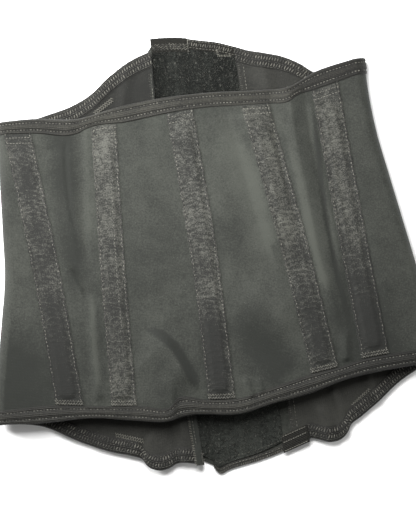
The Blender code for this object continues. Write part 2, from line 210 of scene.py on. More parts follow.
# %% Outlines
FOLD_RADIUS, FOLD_HEIGHT, SHELL_RADIUS = 6.15, 10.2, 7.8
LEFT_FOLD = Edge(
    (-181, -103), (-174, -69), (-164, -27), (-157, 4), (-153, 42), (-149, 87), (-146, 122)
)
RIGHT_FOLD = Edge(
    (158, -104), (152.5, -42), (145.5, 8), (140.5, 42), (136, 75), (134.5, 103), (135, 130)
)
LEFT_TURN = LEFT_FOLD.moved(SHELL_RADIUS)
RIGHT_TURN = RIGHT_FOLD.moved(-SHELL_RADIUS)
BACK_TOP = between(
    LEFT_TURN.at(1),
    (
        (-119, 121), (-84, 116), (-55, 120), (-26, 122), (15, 121),
        (55, 117), (73, 116), (98, 125),
    ),
    RIGHT_TURN.at(1),
)
BACK_BOTTOM = between(
    LEFT_TURN.at(0),
    (
        (-145, -106), (-106, -108), (-73, -115), (-54, -118.5), (-35, -116.5),
        (4, -121), (29, -117), (55, -114), (88, -107), (113, -105),
    ),
    RIGHT_TURN.at(0),
)
LEFT_END = Edge((-29, -156), (-29.5, -118), (-26.5, 0), (-25, 120), (-23, 159))
LEFT_WING_TOP = between(
    LEFT_TURN.at(1),
    ((-120, 121), (-104, 123.5), (-89, 126.5), (-73, 133), (-56, 145), (-39, 154)),
    LEFT_END.at(1),
)
LEFT_WING_BOTTOM = between(
    LEFT_TURN.at(0),
    (
        (-146, -109), (-119, -125), (-94, -137), (-83, -140.7), (-75, -144.5), (-71, -151),
        (-64, -154.6), (-55, -154.2), (-49.5, -151.8), (-37, -153.4),
    ),
    LEFT_END.at(0),
)
SEAM = Edge((39.5, -152), (39.5, 0), (39.5, 153.5))
RIGHT_WING_TOP = between(
    SEAM.at(1), ((51, 148.5), (62, 145), (73, 141.2), (87, 133), (97, 125)), RIGHT_TURN.at(1)
)
RIGHT_WING_BOTTOM = between(
    SEAM.at(0),
    (
        (49, -150.4), (53.5, -147.9), (58.5, -149.4), (67, -152.6), (76.5, -151.7), (82, -146.8),
        (85, -142.2), (93, -137.5), (108, -128), (125, -116),
    ),
    RIGHT_TURN.at(0),
)
FLAP_LEFT, FLAP_RIGHT = -22.0, 39.9
FLAP_TOP = Edge((-22, 168), (-14, 167.6), (0.5, 165.6), (15, 161.8), (27.5, 158.4), (39.5, 153.5))
FLAP_BOTTOM = Edge(
    (-22, -159.5), (-18, -164.5), (-11, -162.5), (13, -158.8), (28, -155.6), (39.5, -152)
)
print("fold to fold along the middle:", RIGHT_FOLD.across(0) - LEFT_FOLD.across(0), "mm")

# %% [markdown]
# ## Creases
# A belt that has been worn keeps its creases. Each one here is a ridge or a groove along a line:
# it has a crest, a width on its west side and another on its east side, and it dies away at its
# ends. A gentle slope beside a steep one gives the light band and the dark band that make a
# crease look real. The same heights lift the outer cloth, the lining, the tapes and the stitches
# together, so that nothing comes apart.

# %% Ridges and grooves
def beside(line, x, y):
    """(distance east of a line, how far along it from 0 to 1) for many points at once."""
    spots = line.at(np.linspace(0, 1, 25))
    starts, steps = spots[:-1], np.diff(spots, axis=0)
    lengths = np.linalg.norm(steps, axis=1)
    dx, dy = x[..., None] - starts[:, 0], y[..., None] - starts[:, 1]
    u = np.clip((dx * steps[:, 0] + dy * steps[:, 1]) / lengths**2, 0, 1)
    far = np.hypot(dx - u * steps[:, 0], dy - u * steps[:, 1])
    nearest = far.argmin(axis=-1)[..., None]
    east = (dx * steps[:, 1] - dy * steps[:, 0]) / lengths
    side = np.sign(np.take_along_axis(east, nearest, -1)[..., 0])
    u = np.take_along_axis(u, nearest, -1)[..., 0]
    distance = np.take_along_axis(far, nearest, -1)[..., 0]
    return side * distance, (nearest[..., 0] + u) / len(starts)


def crease(x, y, line, height, west, east, low_end=0.3, high_end=0.3, crisp=0.6):
    """How much one crease lifts the cloth. low_end and high_end are the shares it fades over."""
    distance, along = beside(line, x, y)
    slope = np.clip(1 - np.where(distance < 0, -distance / west, distance / east), 0, 1)
    slope = crisp * slope + (1 - crisp) * slope * slope * (3 - 2 * slope)
    fade = 1.0
    if low_end:
        fade = fade * smooth_step(0, low_end, along)
    if high_end:
        fade = fade * smooth_step(0, high_end, 1 - along)
    return height * fade * slope


BACK_CREASES = (
    # The long ridge between tapes 4 and 5, and the narrow one close beside tape 5.
    (Edge((87, -93), (84, -47), (79.2, -8), (77.3, 30), (74.7, 68), (74.9, 108)), 5.4, 14, 12, 0.45, 0, 0.8),
    (Edge((94, -60), (93, -10), (90, 58), (88.5, 112)), 2.0, 3.5, 12, 0.3, 0.1, 0.8),
    # The bright slope west of tape 4.
    (Edge((56, -30), (51, 8), (48.5, 27), (43, 72), (38.1, 110)), 5.0, 12, 30, 0.45, 0.1, 0.8),
    # Valleys and a ridge west of tape 2.
    (Edge((-92, -10), (-93.1, 21.5), (-88, 74), (-84.6, 108)), -1.35, 8, 5, 0.3, 0, 0.8),
    (Edge((-98, 20), (-99.8, 52.8), (-98.9, 79.2), (-95.4, 104)), -0.8, 2.5, 2.5, 0.3, 0.1, 1.0),
    (Edge((-96, -22), (-100.9, -5.4), (-108, 8)), -2.0, 2.5, 4, 0.3, 0.3, 0.8),
    (Edge((-100.8, -98), (-98.4, -49.7), (-96.4, -20)), 2.0, 3.5, 8, 0.1, 0.25, 0.9),
    # The curved pleat that runs into the lower edge west of tape 3.
    (Edge((-24, -101), (-33, -84.5), (-38, -72.5), (-46, -57.5), (-60, -46)), 4.4, 36, 7, 0.35, 0.35, 0.7),
    (Edge((-48, -121), (-45.5, -104), (-43, -84)), 2.2, 34, 4, 0, 0.6, 0.7),
    # Short creases along the lower edge and one near the upper edge.
    (Edge((-33, 84), (-39.4, 91.6), (-45, 104)), -0.8, 2.5, 4, 0.3, 0.2, 0.8),
    (Edge((14.3, -110), (9.6, -92)), 1.9, 3, 3, 0.1, 0.4, 0.8),
    (Edge((22.5, -108), (20, -95)), 1.4, 3, 3, 0.1, 0.4, 0.8),
    (Edge((88.5, -94), (90, -68)), 2.4, 6, 4, 0.1, 0.5, 0.8),
    # Broad, gentle swells.
    (Edge((60, -66), (34, -48), (8, -34)), 3.0, 30, 34, 0.4, 0.4, 0.2),
    (Edge((-110, -70), (-112, 0), (-116, 80)), 1.6, 14, 30, 0.3, 0.3, 0.2),
    (Edge((-38, -40), (-44, 30), (-46, 100)), 1.6, 34, 26, 0.3, 0.2, 0.1),
    (Edge((20, -60), (14, 10), (12, 90)), 1.5, 24, 30, 0.3, 0.3, 0.1),
    (Edge((128, -80), (122, -10), (117, 80)), 1.6, 12, 26, 0.3, 0.3, 0.2),
)


# Painted light and shade on the knitted face: bands of paler and darker tone beside the creases, along the
# lower edge and on the tapes. These bands share the rule of the creases: a tone for a height.
PAINTED_SHADING_BANDS = (
    # Light bands beside tapes 4 and 2, and the dark kink beside tape 2.
    (Edge((20, 112), (28, 90), (38, 55), (44, 5)), 0.3, 7, 22, 0.45, 0, 0.5),
    (Edge((66, 108), (71, 54), (74.5, 12), (79, -31)), 0.3, 10, 3, 0.5, 0, 0.3),
    (Edge((-99, -88), (-96.9, -50), (-93.6, -12.5)), 0.38, 2.5, 3.5, 0.15, 0.2, 0.8),
    (Edge((-89, 20), (-84, 70), (-80, 108)), 0.14, 4, 10, 0.3, 0, 0.4),
    (Edge((-101, -20), (-100, 50), (-95, 108)), -0.3, 20, 9, 0.3, 0, 0.4),
    # Dark patches along the lower edge, and the dark side of the curved pleat.
    (Edge((8, -30), (25, -70), (46, -102)), -0.3, 27, 32, 0.4, 0.15, 0.0),
    (Edge((-24, -99), (-31, -79), (-39, -62), (-48, -52), (-60, -44)), -0.68, 5, 4.5, 0.2, 0.3, 0.3),
    (Edge((-165, -110), (-160, -60), (-150, 0)), -0.27, 40, 70, 0, 0.6, 0.1),
    (Edge((110, -105), (104, -60), (96, 0)), -0.25, 60, 60, 0, 0.6, 0.1),
    (Edge((120, -100), (112, 0), (104, 110)), -0.08, 20, 20, 0, 0, 0.1),
    # Tapes 3 and 4 are darker at their lower ends.
    (Edge((-10, -110), (-8, -60), (-6, -20)), -0.36, 14, 14, 0, 0.6, 0.3),
    (Edge((71, -98), (66, -50), (63, -20)), -0.14, 11, 11, 0, 0.6, 0.4),
    # The dark line beside tape 5.
    (Edge((95.5, -75), (91, -30), (89, 0), (90, 66), (91, 100)), -0.32, 3.2, 3, 0.1, 0.15, 0.4),
    # Tape 1 is darker all along, and tapes 2, 5 and 4 are lighter at the top.
    (Edge((-122, -100), (-125, 12), (-131, 112)), -0.12, 13, 13, 0, 0, 0.6),
    (Edge((-74, 10), (-69, 60), (-66, 110)), 0.12, 11, 11, 0.4, 0, 0.6),
    (Edge((109, -60), (106, 0), (102.5, 112)), 0.17, 11, 11, 0.4, 0, 0.6),
    (Edge((60, -20), (54, 50), (48, 110)), 0.05, 11, 11, 0.4, 0, 0.6),
)


def stacked(rows, x, y):
    """The sum of many creases, or of many bands of tone."""
    return sum(crease(x, y, *row) for row in rows)


# Painted light and shade at each point of the cloth, from the bands above.
def painted_shading_and_tone(x, y):
    return stacked(PAINTED_SHADING_BANDS, x, y)


def back_rise(x, y):
    """How far the back panel's cloth stands up from flat at each point."""
    rise = stacked(BACK_CREASES, x, y)
    dent = -0.9 * np.exp(-((x + 108) / 7) ** 2 - ((y - 95.5) / 5) ** 2)
    ripple = 0.25 * np.sin(0.075 * x + 0.031 * y + 1.3) * np.sin(0.047 * y - 0.02 * x)
    return rise + dent + ripple


LEFT_CREASES = (
    (Edge((-61, -158), (-62, -142), (-66, -118)), 1.4, 11, 9, 0, 0.3, 0.2),
    (Edge((-76, -150), (-73, -134), (-63, -118)), -1.3, 5, 4, 0, 0.3, 0.6),
    (Edge((-48.5, -158), (-49, -140), (-52, -112)), -1.2, 5, 4, 0, 0.4, 0.5),
    (Edge((-43, -158), (-42, -130), (-46, -100)), 1.0, 3, 6, 0, 0.4, 0.5),
    (Edge((-104, -134), (-100, -112), (-99, -90)), 1.2, 6, 14, 0, 0.4, 0.5),
    (Edge((-78, 90), (-74, 110), (-62, 138)), 1.3, 12, 8, 0.3, 0, 0.5),
    (Edge((-56, 90), (-50, 120), (-42, 150)), 1.2, 6, 7, 0.3, 0, 0.5),
)
RIGHT_CREASES = (
    (Edge((68, -156), (65, -138), (60, -118)), 2.8, 8, 8, 0, 0.3, 0.5),
    (Edge((81, -150), (78, -130), (74, -108)), 2.2, 4, 5, 0, 0.3, 0.7),
    (Edge((109, -128), (104, -112), (101, -96)), 1.8, 7, 4, 0, 0.4, 0.6),
    (Edge((60, 100), (60, 125), (58, 148)), 1.4, 10, 9, 0.3, 0, 0.4),
)


def left_rise(x, y):
    return stacked(LEFT_CREASES, x, y)


def right_rise(x, y):
    return stacked(RIGHT_CREASES, x, y)


grid_x, grid_y = np.meshgrid(np.linspace(-150, 140, 60), np.linspace(-100, 110, 60))
heights = back_rise(grid_x, grid_y)
print("the back rises from", round(heights.min(), 2), "to", round(heights.max(), 2), "mm")

# %% [markdown]
# ## One side of the flattened loop
# A panel is a flat patch in plan that also goes round its side folds. A Coons patch spans the four
# edges. A point is named by how far across it is, the angle gone round the fold, how far up it is,
# and its offset outwards from the panel's middle surface. Layers at different offsets then stay
# the same distance apart everywhere, round the folds too.

# %% Panels
class Panel:
    def __init__(self, low, high, left, right, outward, lift, rise):
        self.low, self.high, self.left, self.right = low, high, left, right
        self.outward, self.lift, self.rise = outward, lift, rise

    def plan(self, across, up):
        across, up = np.broadcast_arrays(np.asarray(across, float), np.asarray(up, float))
        a, u = across[..., None], up[..., None]
        rows = (1 - u) * self.low.at(across) + u * self.high.at(across)
        sides = (1 - a) * self.left.at(up) + a * self.right.at(up)
        bottom = (1 - a) * self.low.at(0.0) + a * self.low.at(1.0)
        top = (1 - a) * self.high.at(0.0) + a * self.high.at(1.0)
        return rows + sides - (1 - u) * bottom - u * top

    def spot(self, across, turn, up, offset):
        """Points on the panel, in millimetres on the drawing."""
        plan = self.plan(across, up)
        x, y = plan[..., 0], plan[..., 1]
        radius = FOLD_RADIUS + offset + self.outward * self.rise(x, y) * np.cos(turn) ** 2
        z = FOLD_HEIGHT + self.outward * radius * np.cos(turn) + self.lift(x)
        return np.stack([x + radius * np.sin(turn), y + 0 * z, z], axis=-1)

    def level(self, x, y, offset):
        """The height, on the flat part, of a layer at this offset."""
        radius = FOLD_RADIUS + offset + self.outward * self.rise(x, y)
        return FOLD_HEIGHT + self.outward * radius + self.lift(x)

    def tall(self, across):
        return np.linalg.norm(self.high.at(across) - self.low.at(across), axis=-1)


BACK = Panel(BACK_BOTTOM, BACK_TOP, LEFT_TURN, RIGHT_TURN, 1, lambda x: 0 * x, back_rise)
LEFT_WING = Panel(
    LEFT_WING_BOTTOM, LEFT_WING_TOP, LEFT_TURN, LEFT_END, -1,
    lambda x: 2.2 * smooth_step(-105, -58, x), left_rise,
)
RIGHT_WING = Panel(
    RIGHT_WING_BOTTOM, RIGHT_WING_TOP, SEAM, RIGHT_TURN, -1,
    lambda x: -1.0 * (1 - smooth_step(45, 74, x)), right_rise,
)
BACK_MIDDLE = 0.49
print("back panel is", np.round(BACK.tall(np.array((0.0, 0.5, 1.0))), 1), "mm tall, left to right")

# %% [markdown]
# ## Sheets with a real thickness
# Every textile here is a slab: a grid of points for its outer face, the same grid for its inner
# face, and a rim that joins them. The grid is kept, because stitches are sewn onto it later. The
# map for the materials (the piece's UVs) is measured along the cloth in metres, so a weave keeps
# its size and follows every bend.

# %% Slabs
class Slab:
    """A piece of cloth with its two faces as grids of points, and its object."""

    def __init__(self, name, outer, inner, paint):
        self.outer, self.inner = np.asarray(outer, float), np.asarray(inner, float)
        self.obj = self.make(name, paint)

    def lengths(self):
        """How far along the cloth each grid point is, in metres, both ways."""
        middle = self.outer.shape[1] // 2
        steps = np.linalg.norm(np.diff(self.outer[:, middle], axis=0), axis=1)
        u = np.concatenate([[0], np.cumsum(steps)])
        middle = self.outer.shape[0] // 2
        steps = np.linalg.norm(np.diff(self.outer[middle], axis=0), axis=1)
        v = np.concatenate([[0], np.cumsum(steps)])
        return np.stack(np.meshgrid(u, v, indexing="ij"), axis=-1) * MM

    def faces(self):
        n, m = self.outer.shape[:2]
        index = np.arange(n * m).reshape(n, m)
        a, b, c, d = index[:-1, :-1], index[1:, :-1], index[1:, 1:], index[:-1, 1:]
        outer = np.stack([a, b, c, d], axis=-1).reshape(-1, 4)
        ring = np.concatenate([index[:, 0], index[-1, 1:], index[-2::-1, -1], index[0, -2:0:-1]])
        after = np.roll(ring, -1)
        rim = np.stack([after, ring, ring + n * m, after + n * m], axis=-1)
        return np.concatenate([outer, outer[:, ::-1] + n * m, rim])

    def make(self, name, paint):
        points = np.concatenate([self.outer.reshape(-1, 3), self.inner.reshape(-1, 3)])
        faces = self.faces()
        corners = points[faces]
        turned = np.cross(corners[:, 2] - corners[:, 0], corners[:, 3] - corners[:, 1])
        if (corners.mean(axis=1) * turned).sum() < 0:
            faces = faces[:, ::-1]
        mesh = bpy.data.meshes.new(name)
        mesh.from_pydata(to_frame(points).tolist(), [], faces.tolist())
        uv = np.tile(self.lengths().reshape(-1, 2), (2, 1))
        layer = mesh.uv_layers.new(name="cloth_map")
        layer.data.foreach_set("uv", uv[faces.reshape(-1)].astype(np.float32).ravel())
        mesh.shade_smooth()
        mesh.set_sharp_from_angle(angle=math.radians(55))
        mesh.materials.append(paint)
        obj = bpy.data.objects.new(name, mesh)
        bpy.context.scene.collection.objects.link(obj)
        return obj

    def brush(self, columns=None, tone=None):
        """Stores a tone on both faces, mostly painted light and shade: the bands', on the first columns
        only, or the given one.
        """
        if tone is None:
            tone = painted_shading_and_tone(self.outer[..., 0], self.outer[..., 1])
            if columns is not None:
                tone[columns:] = 0
        layer = self.obj.data.attributes.new("painted_shading_and_tone", "FLOAT", "POINT")
        layer.data.foreach_set("value", np.tile(tone.ravel(), 2).astype(np.float32))

    def read(self, grid, i, j):
        """Points of a grid at fractional rows and columns."""
        n, m = grid.shape[:2]
        i, j = np.clip(i, 0, n - 1.001), np.clip(j, 0, m - 1.001)
        low_i, low_j = i.astype(int), j.astype(int)
        u, v = (i - low_i)[:, None], (j - low_j)[:, None]
        front = grid[low_i, low_j] * (1 - u) + grid[low_i + 1, low_j] * u
        back = grid[low_i, low_j + 1] * (1 - u) + grid[low_i + 1, low_j + 1] * u
        return front * (1 - v) + back * v

    def seam(self, i, j, pitch, start=0.0):
        """Evenly spaced places along a path on the outer face: (points, along, outwards)."""
        path = self.read(self.outer, i, j)
        steps = np.linalg.norm(np.diff(path, axis=0), axis=1)
        gone = np.concatenate([[0], np.cumsum(steps)])
        wanted = np.arange(start * pitch + pitch / 2, gone[-1], pitch)
        at_i, at_j = np.interp(wanted, gone, i), np.interp(wanted, gone, j)
        spots = self.read(self.outer, at_i, at_j)
        out = spots - self.read(self.inner, at_i, at_j)
        ahead = np.stack([np.interp(wanted + 0.3, gone, path[:, k]) for k in range(3)], axis=1)
        behind = np.stack([np.interp(wanted - 0.3, gone, path[:, k]) for k in range(3)], axis=1)
        return spots, unit(ahead - behind), unit(out)


def unit(vectors):
    return vectors / np.maximum(np.linalg.norm(vectors, axis=-1, keepdims=True), 1e-9)


print("a slab's faces are quads:", Slab.faces.__name__, "and", Slab.seam.__name__, "are ready")

# %% [markdown]
# ## A short way to write shader maths
# A material in Blender is a web of nodes. Writing the web as sums and products of masks is easier
# to read. One small class holds a socket: an expression on it adds Math nodes, and node() adds any
# other node from its type, its settings and the values or links of its sockets.

# %% Sockets as numbers
def plug(tree, value, socket):
    if isinstance(value, Shade):
        tree.links.new(value.socket, socket)
    else:
        socket.default_value = value


class Shade:
    def __init__(self, tree, socket):
        self.tree, self.socket = tree, socket

    def node(self, kind, settings=None, links=None, output=0):
        made = self.tree.nodes.new(kind)
        for name, value in (settings or {}).items():
            setattr(made, name, value)
        for name, value in (links or {}).items():
            plug(self.tree, value, made.inputs[name])
        return Shade(self.tree, made.outputs[output])

    def math(self, operation, *values):
        return self.node("ShaderNodeMath", {"operation": operation}, dict(enumerate(values)))

    def __add__(self, other):
        return self.math("ADD", self, other)

    def __sub__(self, other):
        return self.math("SUBTRACT", self, other)

    def __rsub__(self, other):
        return self.math("SUBTRACT", other, self)

    def __mul__(self, other):
        return self.math("MULTIPLY", self, other)

    __radd__ = __add__
    __rmul__ = __mul__


def noise(place, size, detail=2.0, rough=0.55):
    """Soft random tone from 0 to 1, whose blotches are about size metres across."""
    links = {"Vector": place, "Scale": 1 / size, "Detail": detail, "Roughness": rough}
    return place.node("ShaderNodeTexNoise", {}, links)


def ramp(value, low, high):
    """0 below low, 1 above high, and smooth between."""
    links = {"Value": value, "From Min": low, "From Max": high}
    return value.node("ShaderNodeMapRange", {"interpolation_type": "SMOOTHSTEP"}, links)


def stretched(place, x, y, z=1.0):
    """The same place, with each direction scaled by its own number."""
    links = {0: place, 1: (x, y, z)}
    return place.node("ShaderNodeVectorMath", {"operation": "MULTIPLY"}, links)


def along(place, axis):
    return place.node("ShaderNodeSeparateXYZ", {}, {0: place}, output=axis)


def wave(value, period):
    """A smooth wave from 0 to 1, one for each period in metres."""
    return value.math("SINE", value * (2 * math.pi / period)) * 0.5 + 0.5


def blend_colours(mask, low, high):
    links = {0: mask, 6: low, 7: high}
    return mask.node("ShaderNodeMix", {"data_type": "RGBA"}, links, output=2)


class Paint:
    """A new material with its shader, and the two kinds of place that its patterns read."""

    def __init__(self, name, roughness, sheen=0.0, specular=0.3):
        self.material = bpy.data.materials.new(name)
        self.material.use_nodes = True
        self.tree = self.material.node_tree
        self.shader = self.tree.nodes["Principled BSDF"]
        self.shader.inputs["Roughness"].default_value = roughness
        self.shader.inputs["Specular IOR Level"].default_value = specular
        self.shader.inputs["Sheen Weight"].default_value = sheen
        self.shader.inputs["Sheen Roughness"].default_value = 0.4
        places = self.tree.nodes.new("ShaderNodeTexCoord")
        self.place = Shade(self.tree, places.outputs["Object"])
        self.cloth = Shade(self.tree, places.outputs["UV"])

    def own(self, name):
        """A number that the piece carries at each of its points, or 0."""
        return self.place.node("ShaderNodeAttribute", {"attribute_name": name}, {}, output=2)

    def colour(self, value):
        plug(self.tree, value, self.shader.inputs["Base Color"])

    def rough(self, value):
        plug(self.tree, value, self.shader.inputs["Roughness"])

    def relief(self, height, depth):
        """Bump from a height of 0 to 1, which stands for depth metres."""
        links = {"Height": height, "Distance": depth, "Strength": 1.0}
        bump = height.node("ShaderNodeBump", {}, links)
        plug(self.tree, bump, self.shader.inputs["Normal"])


print("shader helpers:", [f.__name__ for f in (noise, ramp, stretched, wave, blend_colours)])

# %% [markdown]
# ## Foam fabric, outer face
# The shell is a thin foam with a knitted face, charcoal with a hint of green. Close up there are fine
# columns of knit and pale fibre ends. From further away the tone drifts at random, and each piece adds the
# painted light and shade that it carries at its points. The wale columns and the grain are bump, so that
# they catch the light.

# %% Shell and lining
def foam_fabric(name, dark, light, roughness, column, grain):
    paint = Paint(name, roughness, sheen=0.06, specular=0.18)
    u, v = along(paint.cloth, 0), along(paint.cloth, 1)
    drift = noise(paint.place, 0.055, 3.0, 0.5)
    patches = noise(paint.place, 0.012, 3.0, 0.6)
    specks = noise(paint.place, grain, 2.0, 0.7)
    columns = wave(u + noise(paint.place, 0.01) * 0.0004, column)
    stitches = wave(v + columns * (column * 0.4), column * 1.15)
    knit = columns * stitches
    # The painted light and shade that the piece carries at its points.
    painted_shading = paint.own("painted_shading_and_tone")
    tone = drift * 0.5 + patches * 0.34 + specks * 0.85 + knit * 0.12 + painted_shading - 0.15
    ends = ramp(noise(paint.place, 0.0012, 1.0), 0.74, 0.8) * 0.35
    cloth = blend_colours(ramp(tone, 0.42, 1.08), dark, light)
    paint.colour(blend_colours(ends, cloth, (0.09, 0.095, 0.083, 1)))
    paint.rough(roughness + specks * 0.12)
    paint.relief(knit * 0.45 + specks * 0.5 + patches * 1.4, 0.00022)
    return paint.material


SHELL_PAINT = foam_fabric(
    "foam_fabric_face", (0.0078, 0.0087, 0.0070, 1), (0.0285, 0.0303, 0.0253, 1), 0.72, 0.0010, 0.0011
)
LINING_PAINT = foam_fabric(
    "foam_fabric_lining", (0.005, 0.0051, 0.0043, 1), (0.0175, 0.0175, 0.0148, 1), 0.76, 0.0014, 0.0013
)
print("finishes:", SHELL_PAINT.name, LINING_PAINT.name)

# %% [markdown]
# ## Channel tape
# Each stay runs in a channel under a sewn-on tape with a brushed, ribbed weave. Its loops lie in
# rows across the tape, worn flat in places, so light and dark flecks alternate. The weave follows
# the piece's own map: u runs up the tape and v across it.

# %% Ribbed tape
def ribbed_tape():
    paint = Paint("ribbed_channel_tape", 0.62, sheen=0.06, specular=0.22)
    u, v = along(paint.cloth, 0), along(paint.cloth, 1)
    flecks = noise(stretched(paint.cloth, 1.0, 0.8), 0.00085, 2.0, 0.8)
    coarse = noise(stretched(paint.cloth, 1.0, 0.55), 0.0022, 2.0, 0.6)
    worn = noise(paint.place, 0.02, 2.0, 0.6)
    bow = (v - 0.01) * (v - 0.01) * 40
    rungs = wave(u + bow + coarse * 0.0012, 0.0041)
    shown = ramp(noise(paint.place, 0.03, 1.0), 0.42, 0.6)
    threads = wave(v, 0.0011) * wave(u, 0.0013)
    tone = flecks * 1.1 + coarse * 0.6 + worn * 0.35 + rungs * shown * 0.07 + threads * 0.08
    # The tape's painted light and shade, stored at its points, shifts its tone.
    mask = ramp(tone + paint.own("painted_shading_and_tone") * 0.8, 0.95, 1.34)
    paint.colour(blend_colours(mask, (0.0046, 0.0049, 0.0039, 1), (0.042, 0.042, 0.0345, 1)))
    paint.rough(0.75 - mask * 0.25)
    paint.relief(flecks * 0.6 + coarse * 0.5 + rungs * shown * 0.18 + threads * 0.2, 0.0004)
    return paint.material


TAPE_PAINT = ribbed_tape()
print("finish:", TAPE_PAINT.name)

# %% [markdown]
# ## Edge binding
# The edges are bound in a thin stretch tape with fine ribs along its length, browner than the
# shell. It is a little shiny where the ribs are pulled tight round the edge.

# %% Binding
def stretch_binding(name, dark, light, shine=0.2):
    paint = Paint(name, 0.7, sheen=0.04, specular=shine)
    u, v = along(paint.cloth, 0), along(paint.cloth, 1)
    ribs = wave(v + noise(paint.place, 0.008) * 0.0006, 0.0012)
    ticks = wave(u, 0.0016)
    specks = noise(paint.place, 0.0009, 2.0, 0.75)
    drift = noise(paint.place, 0.03, 3.0, 0.5)
    tone = ribs * 0.25 + specks * 1.15 + drift * 0.5 + ticks * 0.1
    # The binding's painted light and shade, stored at its points, shifts its tone.
    mask = ramp(tone + paint.own("painted_shading_and_tone"), 0.68, 1.33)
    paint.colour(blend_colours(mask, dark, light))
    paint.relief(ribs * 0.6 + specks * 0.5 + ticks * 0.2, 0.00035)
    return paint.material


BINDING_PAINT = stretch_binding(
    "stretch_edge_binding", (0.0042, 0.0041, 0.0033, 1), (0.0245, 0.0238, 0.0188, 1)
)
EDGE_PAINT = stretch_binding(
    "dark_flap_binding", (0.0024, 0.0024, 0.0019, 1), (0.0105, 0.0101, 0.0082, 1), shine=0.1
)
print("finishes:", BINDING_PAINT.name, EDGE_PAINT.name)

# %% [markdown]
# ## Thread, hook, loop and steel
# The thread is a pale grey polyester. Each stitch has its own random tone, painted shade that stands for
# some stitches sinking deeper into the cloth, and a dark copy of the thread is painted shade for the needle
# holes. The hook panel is a dark felt of stiff hooks that has caught pale lint. The loop panel is a softer
# brushed knit. The stays are grey spring steel with fine marks along them.

# %% The small finishes
def thread_paint(name, dark, light):
    paint = Paint(name, 0.55, sheen=0.05, specular=0.25)
    own = paint.own("tone")
    twist = wave(along(paint.place, 0) + along(paint.place, 1), 0.0005)
    specks = noise(paint.place, 0.0006, 1.0)
    paint.colour(blend_colours(ramp(own + specks * 0.4 + twist * 0.1, 0.1, 1.2), dark, light))
    paint.relief(twist, 0.00008)
    return paint.material


def felt_paint(name, dark, light, lint, grain):
    paint = Paint(name, 0.88, sheen=0.05, specular=0.1)
    specks = noise(paint.place, grain, 3.0, 0.8)
    clumps = noise(paint.place, 0.006, 2.0, 0.6)
    bands = noise(stretched(paint.place, 1.0, 0.08, 1.0), 0.009, 1.0)
    caught = ramp(noise(paint.place, 0.0022, 2.0, 0.7), 0.64, 0.74)
    # Painted shade stored at the piece's points joins the felt's tone.
    tone = ramp(specks * 1.2 + clumps * 0.3 + bands * 0.3 + paint.own("painted_shading_and_tone"), 0.7, 1.2)
    paint.colour(blend_colours(caught * lint, blend_colours(tone, dark, light), (0.12, 0.12, 0.105, 1)))
    paint.relief(specks + clumps * 0.6, 0.0007)
    return paint.material


def steel_paint():
    paint = Paint("spring_steel", 0.32, specular=0.5)
    paint.shader.inputs["Metallic"].default_value = 1.0
    marks = noise(stretched(paint.place, 1.0, 0.04, 1.0), 0.0004, 3.0, 0.6)
    paint.colour(blend_colours(marks, (0.42, 0.42, 0.43, 1), (0.62, 0.62, 0.62, 1)))
    paint.rough(0.22 + marks * 0.25)
    return paint.material


PALE_THREAD = thread_paint("pale_thread", (0.0095, 0.0093, 0.0076, 1), (0.09, 0.0875, 0.073, 1))
# Dark beads of thread, used as painted shade for needle holes and stitched grooves.
HOLE_SHADE_THREAD = thread_paint("stitch_hole_shade", (0.006, 0.006, 0.0055, 1), (0.03, 0.03, 0.027, 1))
HOOK_PAINT = felt_paint("hook_felt", (0.003, 0.0034, 0.0029, 1), (0.022, 0.024, 0.0208, 1), 0.4, 0.0011)
LOOP_PAINT = felt_paint("loop_knit", (0.009, 0.0098, 0.0085, 1), (0.03, 0.032, 0.028, 1), 0.2, 0.0016)
STEEL_PAINT = steel_paint()
print("finishes:", [m.name for m in (PALE_THREAD, HOLE_SHADE_THREAD, HOOK_PAINT, LOOP_PAINT, STEEL_PAINT)])

# %% [markdown]
# ## The fabric of each side
# The foam fabric runs without a seam from the middle of the back, round the side fold, to the front end of
# the wing. So each side is one shell and one lining. They end in the middle of the back, where the middle
# tape covers the join. At the fold the cloth bends when the belt opens.

# %% Columns from the middle of the back to the end of a wing
BACK_COLUMNS, FOLD_COLUMNS, WING_COLUMNS, FABRIC_ROWS = 106, 9, 84, 150


def side_columns(side, back=BACK_COLUMNS, fold=FOLD_COLUMNS, wing=WING_COLUMNS):
    """[(panel, across, turn)] as arrays, from the middle of the back to the wing's free end."""
    edge = 0.0 if side == "left" else 1.0
    sign = -1.0 if side == "left" else 1.0
    panel = LEFT_WING if side == "left" else RIGHT_WING
    turns = np.linspace(0, math.pi / 2, fold + 1)[1:]
    flat = np.linspace(BACK_MIDDLE, edge, back)
    front = np.linspace(edge, 1 - edge, wing)
    return [
        (BACK, flat, np.zeros(back)),
        (BACK, np.full(fold, edge), sign * turns),
        (panel, np.full(fold - 1, edge), sign * turns[-2::-1]),
        (panel, front, np.zeros(wing)),
    ]


def swept(side, ups, offsets, columns=None):
    """A grid over one side: ups(panel, across) and offsets(panel, across) give each column's rows."""
    rows = []
    for panel, across, turn in columns or side_columns(side):
        up, offset = ups(panel, across), offsets(panel, across)
        rows.append(panel.spot(across[:, None], turn[:, None], up, offset))
    return np.concatenate(rows)


def fabric(side, name, outer, inner, paint):
    """A layer over the whole of one side, as far as the inside of its bindings."""
    row = np.linspace(0, 1, FABRIC_ROWS)[None, :]

    def ups(panel, across):
        edge = 1.1 / panel.tall(across)[:, None]
        return edge + (1 - 2 * edge) * row

    def at(offset):
        return swept(side, ups, lambda panel, across: np.full((len(across), 1), offset))

    return Slab(f"{side}_{name}", at(outer), at(inner), paint)


